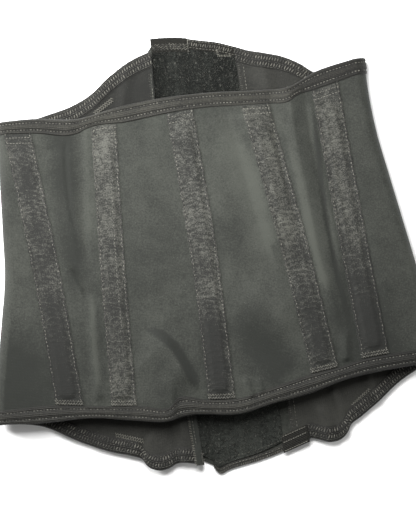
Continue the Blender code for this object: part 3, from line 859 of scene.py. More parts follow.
SHELLS = {side: fabric(side, "shell", 1.65, 0.15, SHELL_PAINT) for side in ("left", "right")}
LININGS = {side: fabric(side, "lining", -1.15, -0.15, LINING_PAINT) for side in ("left", "right")}
for slab in SHELLS.values():
    slab.brush(BACK_COLUMNS)
for slab in LININGS.values():
    x, y = slab.outer[..., 0], slab.outer[..., 1]
    # Painted light and shade on the lining: lighter towards the bottom, where the back panel shades it, and
    # darker at the upper left.
    painted_shade_upper_left = 0.16 * smooth_step(-60, 60, y) * (1 - smooth_step(20, 60, x))
    slab.brush(tone=0.14 * smooth_step(60, -60, y) - painted_shade_upper_left)
print("shell faces:", {side: len(slab.obj.data.polygons) for side, slab in SHELLS.items()})

# %% [markdown]
# ## Edge bindings
# A binding is a tape folded over the raw edge, so in section it is a C: an inner leg, a round
# edge, and an outer leg. The rows of stitches pull it down, and between them it stays full. Its
# section is drawn once, and is then carried along the edge from the middle of the back, round the
# fold, and along the wing.

# %% Binding section and sweep
BINDING_SECTION = np.array((
    (12.2, -1.55), (11.6, -1.95), (10.6, -2.15), (9.4, -1.95), (8.2, -2.3), (6.6, -2.45),
    (5.0, -2.35), (3.4, -2.05), (2.2, -2.3), (1.2, -2.15), (0.45, -1.5), (0.08, -0.6),
    (0.0, 0.3), (0.1, 1.2), (0.5, 2.1), (1.3, 2.75), (2.3, 2.8), (3.0, 2.25), (3.6, 2.2),
    (4.3, 2.85), (6.2, 3.05), (8.2, 2.9), (8.9, 2.25), (9.6, 2.2), (10.3, 2.7), (11.5, 2.5),
    (12.2, 2.0),
))
BINDING_THICKNESS = 0.5
BACK_STARTS_AT = 11.3
# Painted shade and highlight across the section: the grooves under the stitches and the inner leg are
# darker, and the ridges a little lighter.
BINDING_PAINTED_SHADE = np.array((
    -0.3, -0.3, -0.3, -0.35, -0.4, -0.45, -0.4, -0.35, -0.3, -0.2, -0.15, -0.15, -0.15,
    -0.15, -0.1, 0.0, -0.05, -0.4, -0.4, -0.05, 0.05, -0.05, -0.4, -0.4, 0.0, -0.1, -0.35,
))
TOP_INNER = Edge(
    (-144, 113), (-119, 110), (-86, 105), (-77, 108), (-48, 108), (-18, 110), (13, 110),
    (36, 108), (59, 106), (74, 105), (82, 109), (94, 111), (115, 115), (135, 119),
)
BOTTOM_INNER = Edge(
    (-175, -92), (-133, -94), (-111, -98), (-71, -104), (-47.5, -107), (-44, -103), (-19, -107),
    (6, -109), (29, -105), (63, -99), (83, -97), (99, -94), (121, -93), (141, -93),
)


def section_inside(section, thickness):
    """The same section, moved inwards by the tape's thickness."""
    ahead = np.gradient(section, axis=0)
    normal = unit(np.stack([ahead[:, 1], -ahead[:, 0]], axis=1))
    return section + normal * thickness


def binding_width(panel, across, at_top):
    """How wide the tape lies at each place. Wings have it as sewn, and the back as it has relaxed."""
    if panel is not BACK:
        return np.full(len(across), 12.2)
    edge = (BACK_TOP if at_top else BACK_BOTTOM).at(across)
    inner = TOP_INNER if at_top else BOTTOM_INNER
    return np.abs(edge[:, 1] - inner.height(edge[:, 0]))


def binding(side, at_top, columns=None, label=None):
    def grid(section):
        def ups(panel, across):
            share = binding_width(panel, across, at_top)[:, None] / 12.2
            up = section[None, :, 0] * share / panel.tall(across)[:, None]
            return 1 - up if at_top else up

        return swept(side, ups, lambda panel, across: section[None, :, 1], columns)

    name = label or f"{side}_{'top' if at_top else 'bottom'}_binding"
    inside = section_inside(BINDING_SECTION, BINDING_THICKNESS)
    slab = Slab(name, grid(BINDING_SECTION), grid(inside), BINDING_PAINT)
    x = slab.outer[..., 0]
    left_end = smooth_step(-90, -110, x) if at_top else 1.0
    shaded = 0.16 * smooth_step(66, 84, x) + 0.1 * left_end
    slab.brush(tone=BINDING_PAINTED_SHADE - shaded * (slab.outer[..., 2] > BACK_STARTS_AT))
    return slab


BINDINGS = {(side, top): binding(side, top) for side in ("left", "right") for top in (True, False)}
print("bindings:", [slab.obj.name for slab in BINDINGS.values()])

# %% [markdown]
# ## Stays and their channel tapes
# Each stay is a strip of spring steel with round tips. The tape over it is sewn down along both
# sides. It arches over the stay and lies flat past the tips, so the round tip shows through as a
# small dome. The stays of the back lean in towards the waist, as drawn.

# %% Stays and tapes
STAYS = {
    "back_stay_1": (BACK, Edge((-122, -100), (-125, 12), (-131, 112)), 20.5, (-90, 97)),
    "back_stay_2": (BACK, Edge((-82, -104), (-75, 3), (-66, 107)), 19.0, (-96, 92)),
    "back_stay_3": (BACK, Edge((-8.5, -108), (-6, 0), (-8, 108)), 20.5, (-102, 98)),
    "back_stay_4": (BACK, Edge((71, -98), (62, -4), (48.5, 106)), 21.0, (-92, 90)),
    "back_stay_5": (BACK, Edge((110, -92), (106, 0), (102.5, 112)), 21.0, (-86, 97)),
    "left_wing_stay": (LEFT_WING, Edge((-82, -133), (-73, 0), (-65, 126)), 20.0, (-125, 116)),
    "right_wing_stay": (RIGHT_WING, Edge((95.5, -124), (88, 0), (82, 123)), 20.0, (-118, 112)),
}
STAY_HALF, ARCH_HEIGHT = 4.0, 1.05


def tape_ends(panel, line, sideways):
    """The lowest and highest point of a tape's edge: it stops just short of the bindings."""
    low_x, high_x = line.at(0.0)[0] + sideways, line.at(1.0)[0] + sideways
    if panel is BACK:
        return BOTTOM_INNER.height(low_x) + 0.5, TOP_INNER.height(high_x) - 0.5
    return panel.low.height(low_x) + 12.8, panel.high.height(high_x) - 12.8


def tape_offset(sideways, y, half, tips):
    """The height of the tape's face over the cloth: edge, foot, and the arch over the stay."""
    out = np.abs(sideways) / half
    base = 2.05 + 0.4 * (1 - smooth_step(0.9, 1.0, out))
    stitched = -0.22 * np.exp(-((out - 0.86) / 0.05) ** 2)
    past = np.clip(y - (tips[1] - 5), 0, None) + np.clip(tips[0] + 5 - y, 0, None)
    arch = 1 - smooth_step(3.7, 7.6, np.hypot(sideways, past))
    pucker = 0.1 * np.sin(y * 2.1) * (1 - arch) * smooth_step(0.55, 0.8, out)
    return base + stitched + ARCH_HEIGHT * arch + pucker


def channel_tape(name, panel, line, width, tips):
    rows, half = 120, width / 2
    sideways = np.linspace(-half, half, 27)
    ends = [tape_ends(panel, line, s) for s in sideways]
    low, high = np.array(ends).T
    y = low[None, :] + (high - low)[None, :] * np.linspace(0, 1, rows)[:, None]
    x = line.across(y) + sideways[None, :] + 0.22 * np.sin(y * 0.55 + line.points[0, 0])
    outer = tape_offset(sideways[None, :], y, half, tips)
    faces = [np.stack([x, y, panel.level(x, y, offset)], -1) for offset in (outer, outer - 0.5)]
    return Slab(name, *faces, TAPE_PAINT)


def stay(name, panel, line, tips):
    y = np.linspace(tips[0] + 0.8, tips[1] - 0.8, 80)[:, None]
    past = np.clip(y - (tips[1] - 5), 0, None) + np.clip(tips[0] + 5 - y, 0, None)
    half = np.sqrt(np.clip(STAY_HALF**2 - (past * 0.9) ** 2, 0.3, None))
    sideways = half * np.linspace(-1, 1, 5)[None, :]
    x, y = line.across(y) + sideways, y + 0 * sideways
    faces = [np.stack([x, y, panel.level(x, y, offset)], -1) for offset in (2.5, 1.95)]
    return Slab(name, *faces, STEEL_PAINT)


TAPES, STEELS = {}, {}
for name, (panel, line, width, tips) in STAYS.items():
    TAPES[name] = channel_tape(f"{name}_channel", panel, line, width, tips)
    TAPES[name].brush(None if panel is BACK else 0)
    STEELS[name] = stay(f"{name}_steel", panel, line, tips)
print("tapes over stays:", sorted(TAPES))

# %% [markdown]
# ## The end of the left wing
# The raw end of the left wing is turned in and sewn down over the lower binding, wider at the
# bottom than at the top. On the outer face, beside the end, is the loop panel that the hooks hold.

# %% End hem and loop panel
def over_binding(y):
    """How much lower the hem lies where it runs over the wing's lower binding."""
    return -0.95 * smooth_step(-139, -143.5, y)


def strip(name, panel, sides, ends, offsets, paint, rows=90, columns=9, drop=None):
    """A flat strip on one panel: sides(y) gives its left and right x, ends its lowest and highest y."""
    y = np.linspace(*ends, rows)[:, None]
    left, right = sides(y)
    x = left + (right - left) * np.linspace(0, 1, columns)[None, :]
    y = y + 0 * x
    crown = np.sin(np.linspace(0, math.pi, columns))[None, :] ** 0.5
    drop = drop(y) if drop else 0.0
    outer = offsets[0] + (offsets[1] - offsets[0]) * (0.55 + 0.45 * crown) + drop
    inner = offsets[0] + drop
    faces = [np.stack([x, y, panel.level(x, y, o + 0 * x)], -1) for o in (outer, inner)]
    return Slab(name, *faces, paint)


HEM_ENDS = (-155.2, 142.5)


def hem_line(wide, narrow):
    """A line beside the end of the left wing: this far from it at the bottom and at the top."""
    return lambda y: LEFT_END.across(y) - np.interp(y, (-100, 60), (wide, narrow))


end_hem = strip(
    "end_hem_strip", LEFT_WING, lambda y: (hem_line(5.8, 2.4)(y), LEFT_END.across(y) - 0.2),
    HEM_ENDS, (-1.4, -2.5), SHELL_PAINT, rows=120, drop=over_binding,
)
# Painted shade: the hem is darker than the shell, and darker still towards its top.
end_hem.brush(tone=-0.22 - 0.45 * smooth_step(-60, 60, end_hem.outer[..., 1]))
loop_panel = strip(
    "loop_strip", LEFT_WING,
    lambda y: (LEFT_END.across(y) - 26, LEFT_END.across(y) - 2),
    (-138, 128), (1.9, 2.9), LOOP_PAINT, columns=17,
)
print("strips on the left wing:", end_hem.obj.name, loop_panel.obj.name)

# %% [markdown]
# ## The closure flap
# The flap carries on from the right wing past its seam. It has a foam base, a hook panel over
# almost all of its inner face, a tongue that reaches under the left wing's loop panel, a binding
# along its top and a narrow hem along its bottom.

# %% Flap base, hook panel and edges
TONGUE_LEFT, TONGUE_LOW, TONGUE_HIGH = -47.0, (-142.0, -154.0), (145.0, 156.0)


def flap_slab(name, set_in, levels, paint, grain=0.0, slant=0.0):
    """A plate over the flap, set in from its lower and upper edge, with its right end slanting."""
    tongue = np.linspace(TONGUE_LEFT + 0.3, FLAP_LEFT - 0.3, 16)
    body = np.linspace(FLAP_LEFT, FLAP_RIGHT - 0.2, 42)
    x = np.concatenate([tongue, body])
    in_tongue = x < FLAP_LEFT - 0.1
    tongue_low = np.interp(x, (TONGUE_LEFT, -29, FLAP_LEFT), (*TONGUE_LOW, FLAP_BOTTOM.points[0, 1] + 1))
    tongue_high = np.interp(x, (TONGUE_LEFT, -29, FLAP_LEFT), (*TONGUE_HIGH, FLAP_TOP.points[0, 1] - 4))
    low = np.where(in_tongue, tongue_low + set_in[0], FLAP_BOTTOM.height(x) + set_in[0])
    high = np.where(in_tongue, tongue_high - set_in[1], FLAP_TOP.height(x) - set_in[1])
    y = low[:, None] + (high - low)[:, None] * np.linspace(0, 1, 170)[None, :]
    share = np.clip((x - FLAP_LEFT) / (FLAP_RIGHT - FLAP_LEFT), 0, 1)[:, None]
    x = x[:, None] - share * slant * (155 - y) / 310
    wobble = grain * np.sin(x * 1.7 + y * 0.9) * np.sin(x * 0.6 - y * 2.3)
    upper = np.stack([x, y, levels[1] + wobble], -1)
    lower = np.stack([x, y, levels[0] + 0 * x], -1)
    return Slab(name, upper, lower, paint)


def flap_edge(name, line, width, inward, paint):
    """A tape over the flap's inner face and down over its edge."""
    section = np.array((
        (1.0, 2.1), (0.95, 2.5), (0.8, 2.4), (0.62, 2.75), (0.42, 2.85), (0.22, 2.5),
        (0.1, 2.7), (0.03, 2.2), (0.0, 1.5), (0.0, 0.7), (0.02, 0.1),
    ))
    section[:, 0] *= width
    # This section runs towards the edge, so its inside lies on the other side of the path.
    inside = section_inside(section, -0.45)
    x = np.linspace(FLAP_LEFT, FLAP_RIGHT - 0.2, 70)

    def grid(shape):
        y = line.height(x)[:, None] + inward * shape[None, :, 0]
        return np.stack([x[:, None] + 0 * y, y, shape[None, :, 1] + 0 * y], -1)

    return Slab(name, grid(section), grid(inside), paint)


flap_base = flap_slab("flap_foam_base", (1.1, 1.1), (0.05, 1.5), SHELL_PAINT)
hook_panel = flap_slab("hook_felt_panel", (5.2, 8.0), (1.7, 2.75), HOOK_PAINT, 0.12, 7.5)
# Painted shade: the hook panel is darker towards its top and lighter towards its bottom.
hook_panel.brush(tone=0.08 - 0.19 * smooth_step(-100, 100, hook_panel.outer[..., 1]))  # darker above
flap_top = flap_edge("flap_top_edge", FLAP_TOP, 8.5, -1, EDGE_PAINT)
flap_hem = flap_edge("flap_bottom_edge", FLAP_BOTTOM, 5.0, 1, BINDING_PAINT)
flap_hem.brush(tone=np.full(flap_hem.outer.shape[:2], -0.12))
print("flap pieces:", [s.obj.name for s in (flap_base, hook_panel, flap_top, flap_hem)])

# %% [markdown]
# ## The folded ends of the bindings
# Where the lower binding of the right wing meets the flap, its end is folded back and tacked down
# as a small square. The flap's own upper binding ends in a longer fold at the free end.

# %% Binding ends
def folded_end(name, x_ends, low, tall, level):
    """A small pillow of folded tape: low(x) is its lower edge, level(x, y, rise) its height."""
    across, up = np.linspace(0, 1, 22)[:, None], np.linspace(0, 1, 16)[None, :]
    x = x_ends[0] + (x_ends[1] - x_ends[0]) * across + 0 * up
    y = low(x) + tall * up
    dome = (np.sin(across * math.pi) * np.sin(up * math.pi)) ** 0.3
    faces = [np.stack([x, y, level(x, y, rise)], -1) for rise in (0.15 + 0.85 * dome, 0 * dome)]
    return Slab(name, *faces, EDGE_PAINT)


tab = folded_end(
    "binding_end_fold", (31.5, 52.3), lambda x: -164.6 + 0.28 * x, 13.2,
    lambda x, y, rise: RIGHT_WING.level(x, y, -2.75 - rise),
)
flap_fold = folded_end(
    "flap_edge_fold", (FLAP_LEFT - 0.3, 5.5), lambda x: FLAP_TOP.height(x) - 10.6, 10.9,
    lambda x, y, rise: 2.7 + rise,
)
print("folded ends:", tab.obj.name, flap_fold.obj.name)

# %% [markdown]
# ## Stitches as real thread
# Thread stands up from cloth and catches the light, so each stitch is its own small bead. One bead
# is modelled by hand: a sphere is drawn out, its ends are bent down into the cloth, and its
# underside is flattened. Sewing copies it along a seam, turned to the seam and tilted to the cloth.

# %% One stitch
def taken_apart(obj):
    """(points, faces) of a small model, which is then removed."""
    points = np.array([vert.co[:] for vert in obj.data.vertices])
    faces = [list(face.vertices) for face in obj.data.polygons]
    bpy.data.objects.remove(obj, do_unlink=True)
    return points, faces


def select_where(obj, wanted):
    """In edit mode, selects the vertices that wanted(position) picks."""
    bpy.ops.mesh.select_all(action="DESELECT")
    bpy.ops.object.mode_set(mode="OBJECT")
    for vert in obj.data.vertices:
        vert.select = wanted(vert.co)
    bpy.ops.object.mode_set(mode="EDIT")


def model_stitch():
    bpy.ops.object.select_all(action="DESELECT")
    bpy.ops.mesh.primitive_uv_sphere_add(
        segments=6, ring_count=4, radius=0.5, rotation=(0, math.pi / 2, 0)
    )
    obj = bpy.context.object
    bpy.ops.object.transform_apply(location=False, rotation=True, scale=True)
    bpy.ops.object.mode_set(mode="EDIT")
    bpy.ops.mesh.select_mode(type="VERT")
    select_where(obj, lambda co: abs(co.x) > 0.45)
    bpy.ops.transform.translate(value=(0, 0, -0.35))
    select_where(obj, lambda co: co.z < -0.1 and abs(co.x) < 0.45)
    bpy.ops.transform.resize(value=(1, 1, 0.4))
    bpy.ops.mesh.select_all(action="SELECT")
    bpy.ops.mesh.normals_make_consistent(inside=False)
    bpy.ops.object.mode_set(mode="OBJECT")
    return taken_apart(obj)


STITCH = model_stitch()
print("one stitch has", len(STITCH[1]), "faces")

# %% [markdown]
# ## Sewing
# A seam is a list of places with the direction of the thread and of the cloth's outside. turned()
# swings the thread for zigzags and ladders. The random numbers are seeded, so that the same belt
# is made every time.

# %% Sewing many copies
RANDOM = np.random.default_rng(7)


def turned(seam, degrees):
    """The same places, with the thread swung round the cloth's outside by an angle for each."""
    spots, ahead, out = seam
    side = np.cross(out, ahead)
    a = np.radians(np.broadcast_to(degrees, len(spots)))[:, None]
    return spots, ahead * np.cos(a) + side * np.sin(a), out


def zigzag(seam, degrees):
    signs = np.where(np.arange(len(seam[0])) % 2, 1.0, -1.0)
    return turned(seam, signs * degrees)


def copies(template, seam, size, sink=0.0, tones=(0.3, 0.9), wobble=0.12):
    """The template's points and faces at every place of a seam, with a tone for each copy."""
    spots, ahead, out = seam
    points, faces = template
    count, side = len(spots), unit(np.cross(out, ahead))
    grow = np.array(size) * (1 + wobble * RANDOM.uniform(-1, 1, (count, 3)))
    shaped = points[None] * grow[:, None]
    placed = (
        (spots - out * sink)[:, None]
        + shaped[..., 0:1] * ahead[:, None]
        + shaped[..., 1:2] * side[:, None]
        + shaped[..., 2:3] * out[:, None]
    )
    tone = np.repeat(RANDOM.uniform(*tones, count), len(points))
    return placed.reshape(-1, 3), faces, count, len(points), tone


def joined(name, parts, paint):
    """One object from many copies, with each copy's tone as an attribute."""
    points, faces, tones, base = [], [], [], 0
    for placed, shape, count, size, tone in parts:
        points.append(placed)
        tones.append(tone)
        for number in range(count):
            start = base + number * size
            faces.extend([[start + k for k in face] for face in shape])
        base += count * size
    mesh = bpy.data.meshes.new(name)
    mesh.from_pydata(to_frame(np.concatenate(points)).tolist(), [], faces)
    tone = mesh.attributes.new("tone", "FLOAT", "POINT")
    tone.data.foreach_set("value", np.concatenate(tones).astype(np.float32))
    mesh.shade_smooth()
    mesh.materials.append(paint)
    obj = bpy.data.objects.new(name, mesh)
    bpy.context.scene.collection.objects.link(obj)
    return obj


print("sewing tools:", turned.__name__, zigzag.__name__, copies.__name__, joined.__name__)

# %% [markdown]
# ## Seams of the bindings
# The outer leg of each binding has two straight rows. The inner leg shows the other side of the
# same machine: two ladders of looper thread, laid across the needle rows.

# %% Binding seams
OUTER_FROM = 12


def leg_column(width, outer_leg):
    """The fractional column of the binding's section at one width on one leg."""
    columns = np.arange(len(BINDING_SECTION))
    if outer_leg:
        return np.interp(width, BINDING_SECTION[OUTER_FROM:, 0], columns[OUTER_FROM:])
    part = BINDING_SECTION[: OUTER_FROM + 1, 0][::-1]
    return np.interp(width, part, columns[: OUTER_FROM + 1][::-1])


def binding_row(slab, width, outer_leg, pitch, wander=0.0):
    i = np.linspace(0, slab.outer.shape[0] - 1.01, 900)
    j = leg_column(width, outer_leg) + wander * np.sin(i * 0.19) + 0 * i
    return slab.seam(i, j, pitch)


def binding_seams(slab):
    parts = []
    for width in (3.3, 9.25):
        row = binding_row(slab, width, True, 2.5, 0.06)
        parts.append(copies(STITCH, row, (1.7, 0.75, 0.65), 0.02, (0.0, 1.0)))
    for width in (4.1, 8.6):
        row = zigzag(binding_row(slab, width, False, 2.1, 0.1), 9)
        parts.append(copies(STITCH, turned(row, 78), (3.1, 0.8, 0.6), -0.02, (0.0, 0.85)))
    for width in (2.2, 6.35, 10.6):
        row = binding_row(slab, width, False, 2.6)
        parts.append(copies(STITCH, row, (2.0, 0.45, 0.5), 0.0, (-0.1, 0.45)))
    return parts


BINDING_SEAMS = {
    key: joined(slab.obj.name + "_seams", binding_seams(slab), PALE_THREAD)
    for key, slab in BINDINGS.items()
}
print("binding seams:", {o.name: len(o.data.polygons) for o in BINDING_SEAMS.values()})

# %% [markdown]
# ## Seams of the channel tapes
# A tape is sewn down along both sides with a loose lockstitch of pale loops. Between the loops sit dark
# beads, painted shade for the needle holes and the stitched groove. Two rows cross its top, and a dense
# zigzag tack closes its bottom.

# %% Tape seams
def tape_side(slab, share, pitch, low=0.0, high=1.0):
    n, m = slab.outer.shape[:2]
    i = np.linspace(low, high, 500) * (n - 1.01)
    return slab.seam(i, share * (m - 1) + 0.12 * np.sin(i * 1.1), pitch)


def tape_across(slab, up, pitch, low=0.04, high=0.96):
    n, m = slab.outer.shape[:2]
    j = np.linspace(low, high, 80) * (m - 1)
    return slab.seam(np.full(80, up * (n - 1)), j, pitch)


def tape_seams(slab):
    pale, dark = [], []
    for share in (0.065, 0.935):
        pale.append(copies(STITCH, tape_side(slab, share, 2.9), (1.5, 0.75, 0.65), 0.02, (0.1, 0.9)))
        # Dark beads between the pale stitches, a little further out: painted shade of the needle holes.
        outwards = 0.012 if share > 0.5 else -0.012
        spots, ahead, out = tape_side(slab, share + outwards, 2.9)
        shifted = (spots + ahead * 1.45, ahead, out)
        dark.append(copies(STITCH, shifted, (1.3, 0.9, 0.5), 0.1, (0.0, 0.4)))
    for up in (0.967, 0.987):
        pale.append(copies(STITCH, tape_across(slab, up, 2.3), (1.7, 0.6, 0.6), 0.0, (0.3, 1.0)))
    for up in (0.004, 0.014):
        tack = zigzag(tape_across(slab, up, 1.0, -0.02, 1.0), 62)
        pale.append(copies(STITCH, tack, (2.2, 0.5, 0.6), -0.1, (0.15, 0.9)))
    return pale, dark


TAPE_SEAMS = {}
for name, slab in TAPES.items():
    pale, dark = tape_seams(slab)
    TAPE_SEAMS[name] = [
        joined(f"{name}_pale_seams", pale, PALE_THREAD),
        joined(f"{name}_hole_shade_seams", dark, HOLE_SHADE_THREAD),
    ]
inner_row = tape_side(TAPES["back_stay_2"], 0.66, 2.6, 0.28, 0.8)
inner_row = copies(STITCH, inner_row, (1.5, 0.6, 0.6), 0.05, (0.2, 0.8))
TAPE_SEAMS["back_stay_2"].append(joined("back_stay_2_inner_seam", [inner_row], PALE_THREAD))
print("tape seams:", sum(len(o.data.polygons) for objs in TAPE_SEAMS.values() for o in objs), "faces")

# %% [markdown]
# ## Seams of the front
# The end hem has an overlocked edge, and short bars of dense zigzag hold the ends of the wing
# stays on the inner face. The flap has a ladder of stitches on its top edge, a straight row along
# its hem, and zigzags along the seam where it joins the wing.

# %% Front seams
def places(path, pitch, out_sign):
    """Evenly spaced places along a path of points, with the outside straight up or down."""
    steps = np.linalg.norm(np.diff(path, axis=0), axis=1)
    gone = np.concatenate([[0], np.cumsum(steps)])
    wanted = np.arange(pitch / 2, gone[-1], pitch)
    spots, ahead = (
        np.stack([np.interp(wanted + d, gone, path[:, k]) for k in range(3)], 1) for d in (0, 0.4)
    )
    return spots, unit(ahead - spots), np.tile((0.0, 0.0, out_sign), (len(spots), 1))


def on_face(panel, x, y, offset, pitch, out_sign):
    return places(np.stack([x, y, panel.level(x, y, offset)], -1), pitch, out_sign)


def along_face(panel, line_x, ends, offset, pitch, out_sign):
    """A row of places up one face of a panel, at line_x(y)."""
    y = np.linspace(*ends, 400)
    return on_face(panel, line_x(y) + 0 * y, y, offset, pitch, out_sign)


def flap_row(y_line, height, pitch, x_ends=(FLAP_LEFT + 0.5, FLAP_RIGHT - 1)):
    x = np.linspace(*x_ends, 200)
    return places(np.stack([x, y_line(x), height + 0 * x], -1), pitch, 1.0)


def bar_tack(panel, centre, width, offset, slope):
    """A short bar of dense zigzag across a stay's end."""
    x = np.linspace(centre[0] - width / 2, centre[0] + width / 2, 60)
    parts = []
    for up in (-1.0, 1.0):
        y = centre[1] + up + slope * (x - centre[0])
        row = zigzag(on_face(panel, x, y, offset, 0.95, 1.0), 60)
        parts.append(copies(STITCH, row, (2.3, 0.5, 0.6), -0.1, (0.4, 1.0)))
    return parts


def lockstitch(row, tones=(0.1, 0.8)):
    return copies(STITCH, row, (1.9, 0.55, 0.55), 0.0, tones)


# The left wing: bars over the stay, the overlocked hem, and the rows that hold the loop panel.
left_parts = bar_tack(LEFT_WING, (-64.5, 122.5), 15.7, -1.25, 0.58)
left_parts += bar_tack(LEFT_WING, (-82.0, -127.3), 20, -1.25, -0.38)
overlock = along_face(LEFT_WING, hem_line(5.9, 2.5), (-139, 20), -2.1, 1.3, 1.0)
left_parts.append(copies(STITCH, turned(overlock, 80), (2.4, 0.6, 0.6), 0.0, (0.3, 1.0)))
overlock = along_face(LEFT_WING, hem_line(5.9, 2.5), (20, 142), -2.1, 1.3, 1.0)
left_parts.append(copies(STITCH, turned(overlock, 80), (2.0, 0.5, 0.5), 0.1, (-0.1, 0.3)))
overlock = along_face(LEFT_WING, hem_line(5.9, 2.5), (-154.6, -139.5), -3.1, 1.3, 1.0)
left_parts.append(copies(STITCH, turned(overlock, 80), (2.4, 0.6, 0.6), 0.0, (0.3, 1.0)))
left_parts.append(lockstitch(along_face(LEFT_WING, hem_line(3.6, 1.4), (-139, 142), -2.45, 2.6, 1.0)))
overlock = along_face(LEFT_WING, hem_line(0.6, 0.6), (-154.6, -145), -3.35, 1.5, 1.0)
left_parts.append(copies(STITCH, turned(overlock, 70), (1.6, 0.6, 0.6), 0.0, (0.0, 0.7)))
for inset in (3.0, 25.0):
    row = along_face(LEFT_WING, hem_line(inset, inset), (-137, 127), 2.75, 2.6, -1.0)
    left_parts.append(lockstitch(row))
left_wing_seams = joined("left_wing_seams", left_parts, PALE_THREAD)

# The right wing: bars, the two rows beside the flap on both faces, and the tab's stitches.
right_parts = bar_tack(RIGHT_WING, (82.5, 113.5), 16, -1.25, -0.3)
right_parts += bar_tack(RIGHT_WING, (95.0, -123.4), 14.4, -1.25, 0.69)
for offset, out_sign in ((-1.2, 1.0), (1.68, -1.0)):
    row = along_face(RIGHT_WING, lambda y: 41.1 + 0 * y, (-138, 140), offset, 1.4, out_sign)
    right_parts.append(copies(STITCH, turned(row, 70), (2.2, 0.5, 0.55), 0.05, (-0.1, 0.4)))
    row = along_face(RIGHT_WING, lambda y: 44.5 + 0 * y, (-138, 140), offset, 2.6, out_sign)
    right_parts.append(lockstitch(row))
for up in (1.2, 7.6, 12.2):
    x = np.linspace(32.3, 51.5, 60)
    row = on_face(RIGHT_WING, x, -164.6 + 0.28 * x + up, -3.65, 1.9, 1.0)
    right_parts.append(copies(STITCH, row, (1.8, 0.7, 0.6), -0.05, (0.5, 1.0)))
right_wing_seams = joined("right_wing_seams", right_parts, PALE_THREAD)

# The flap: rows and a ladder on its top edge, rows along its hem, and the corner by the seam.
flap_parts = [
    lockstitch(flap_row(lambda x: FLAP_TOP.height(x) - 1.4, 2.9, 2.5, (5.8, FLAP_RIGHT - 1)), (0.3, 0.9)),
    lockstitch(flap_row(lambda x: FLAP_TOP.height(x) - 6.6, 2.75, 2.5, (5.8, FLAP_RIGHT - 1)), (0.4, 1.0)),
    lockstitch(flap_row(lambda x: FLAP_BOTTOM.height(x) + 3.4, 2.85, 2.6), (0.3, 1.0)),
    lockstitch(flap_row(lambda x: FLAP_BOTTOM.height(x) + 8.6, 2.8, 2.6)),
]
row = zigzag(flap_row(lambda x: FLAP_TOP.height(x) - 4.0, 2.95, 1.75, (5.8, 38)), 14)
flap_parts.append(copies(STITCH, turned(row, 78), (3.1, 0.8, 0.6), -0.02, (0.1, 0.9)))
row = flap_row(lambda x: FLAP_BOTTOM.height(x) + 1.1, 2.75, 1.7)
flap_parts.append(copies(STITCH, turned(row, 70), (2.0, 0.6, 0.6), 0.0, (0.1, 0.9)))
for width in (5.0, 6.6, 8.2):
    row = zigzag(flap_row(lambda x, w=width: FLAP_TOP.height(x) - w, 3.62, 1.3, (-21.4, 5.2)), 50)
    flap_parts.append(copies(STITCH, row, (2.2, 0.5, 0.5), -0.05, (-0.3, 0.75)))
corner = np.array([(26.7, 153.5, 2.95), (26.7, 148.2, 2.85), (37.4, 146.6, 2.85)])
flap_parts.append(copies(STITCH, turned(places(corner, 1.2, 1.0), 75), (2.3, 0.6, 0.6), 0.0, (0.5, 1.0)))
fold_side = np.array([(5.7, 163.8, 3.0), (5.0, 154.6, 2.95)])
flap_parts.append(copies(STITCH, places(fold_side, 1.9, 1.0), (2.2, 0.7, 0.6), 0.0, (0.6, 1.0)))
flap_seams = joined("closure_flap_seams", flap_parts, PALE_THREAD)
print("front seams:", [o.name for o in (left_wing_seams, right_wing_seams, flap_seams)])

# %% [markdown]
# ## Fuzz on the hook panel
# Close to, the hook panel is a field of tiny hooks and loose fibres. One fibre is modelled by
# hand: a small triangle is extruded three times along a bow. Some thousands of copies stand on
# the panel, each turned and tilted its own way, thickest near the edges where they show.

# %% One fibre, planted over the panel
def model_fibre():
    bpy.ops.object.select_all(action="DESELECT")
    bpy.ops.mesh.primitive_circle_add(vertices=3, radius=0.5, fill_type="NGON")
    obj = bpy.context.object
    bpy.ops.object.mode_set(mode="EDIT")
    for step in ((0.25, 0, 1.1), (0.75, 0, 0.6), (0.9, 0, -0.35)):
        bpy.ops.mesh.extrude_region_move(TRANSFORM_OT_translate={"value": step})
        bpy.ops.transform.resize(value=(0.8, 0.8, 0.8))
    bpy.ops.mesh.select_all(action="SELECT")
    bpy.ops.mesh.normals_make_consistent(inside=False)
    bpy.ops.object.mode_set(mode="OBJECT")
    return taken_apart(obj)


FIBRE = model_fibre()


def planted(slab, count, size, tones):
    n, m = slab.outer.shape[:2]
    i = RANDOM.uniform(0, n - 1.01, count)
    edge = RANDOM.uniform(0, 1, count)
    near_ends = 0.5 + 0.5 * np.sign(edge - 0.5) * (1 - 0.3 * np.abs(2 * edge - 1))
    j = np.where(RANDOM.uniform(0, 1, count) < 0.45, edge, near_ends) * (m - 1.01)
    spots = slab.read(slab.outer, i, j)
    angle = RANDOM.uniform(0, 2 * math.pi, count)
    lean = RANDOM.normal(0, 0.35, (count, 2))
    out = unit(np.stack([lean[:, 0], lean[:, 1], np.ones(count)], -1))
    ahead = unit(np.cross(np.stack([np.cos(angle), np.sin(angle), 0 * angle], -1), out))
    return copies(FIBRE, (spots, ahead, out), size, 0.05, tones, 0.35)


fuzz = planted(hook_panel, 5600, (0.5, 0.24, 0.42), (-0.2, 0.6))
hook_fuzz = joined("hook_panel_fibres", [fuzz], PALE_THREAD)
print("one fibre has", len(FIBRE[1]), "faces, and", len(hook_fuzz.data.polygons), "are planted")

# %% [markdown]
# ## What moves with what
# Cloth that goes round a side fold has its transform baked into its points and rides on no body. Everything
# else rides on one body.


def blend_side(obj, side):
    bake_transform(obj)


for side in ("left", "right"):
    blend_side(SHELLS[side].obj, side)
    blend_side(LININGS[side].obj, side)
for (side, at_top), slab in BINDINGS.items():
    blend_side(slab.obj, side)
    blend_side(BINDING_SEAMS[(side, at_top)], side)

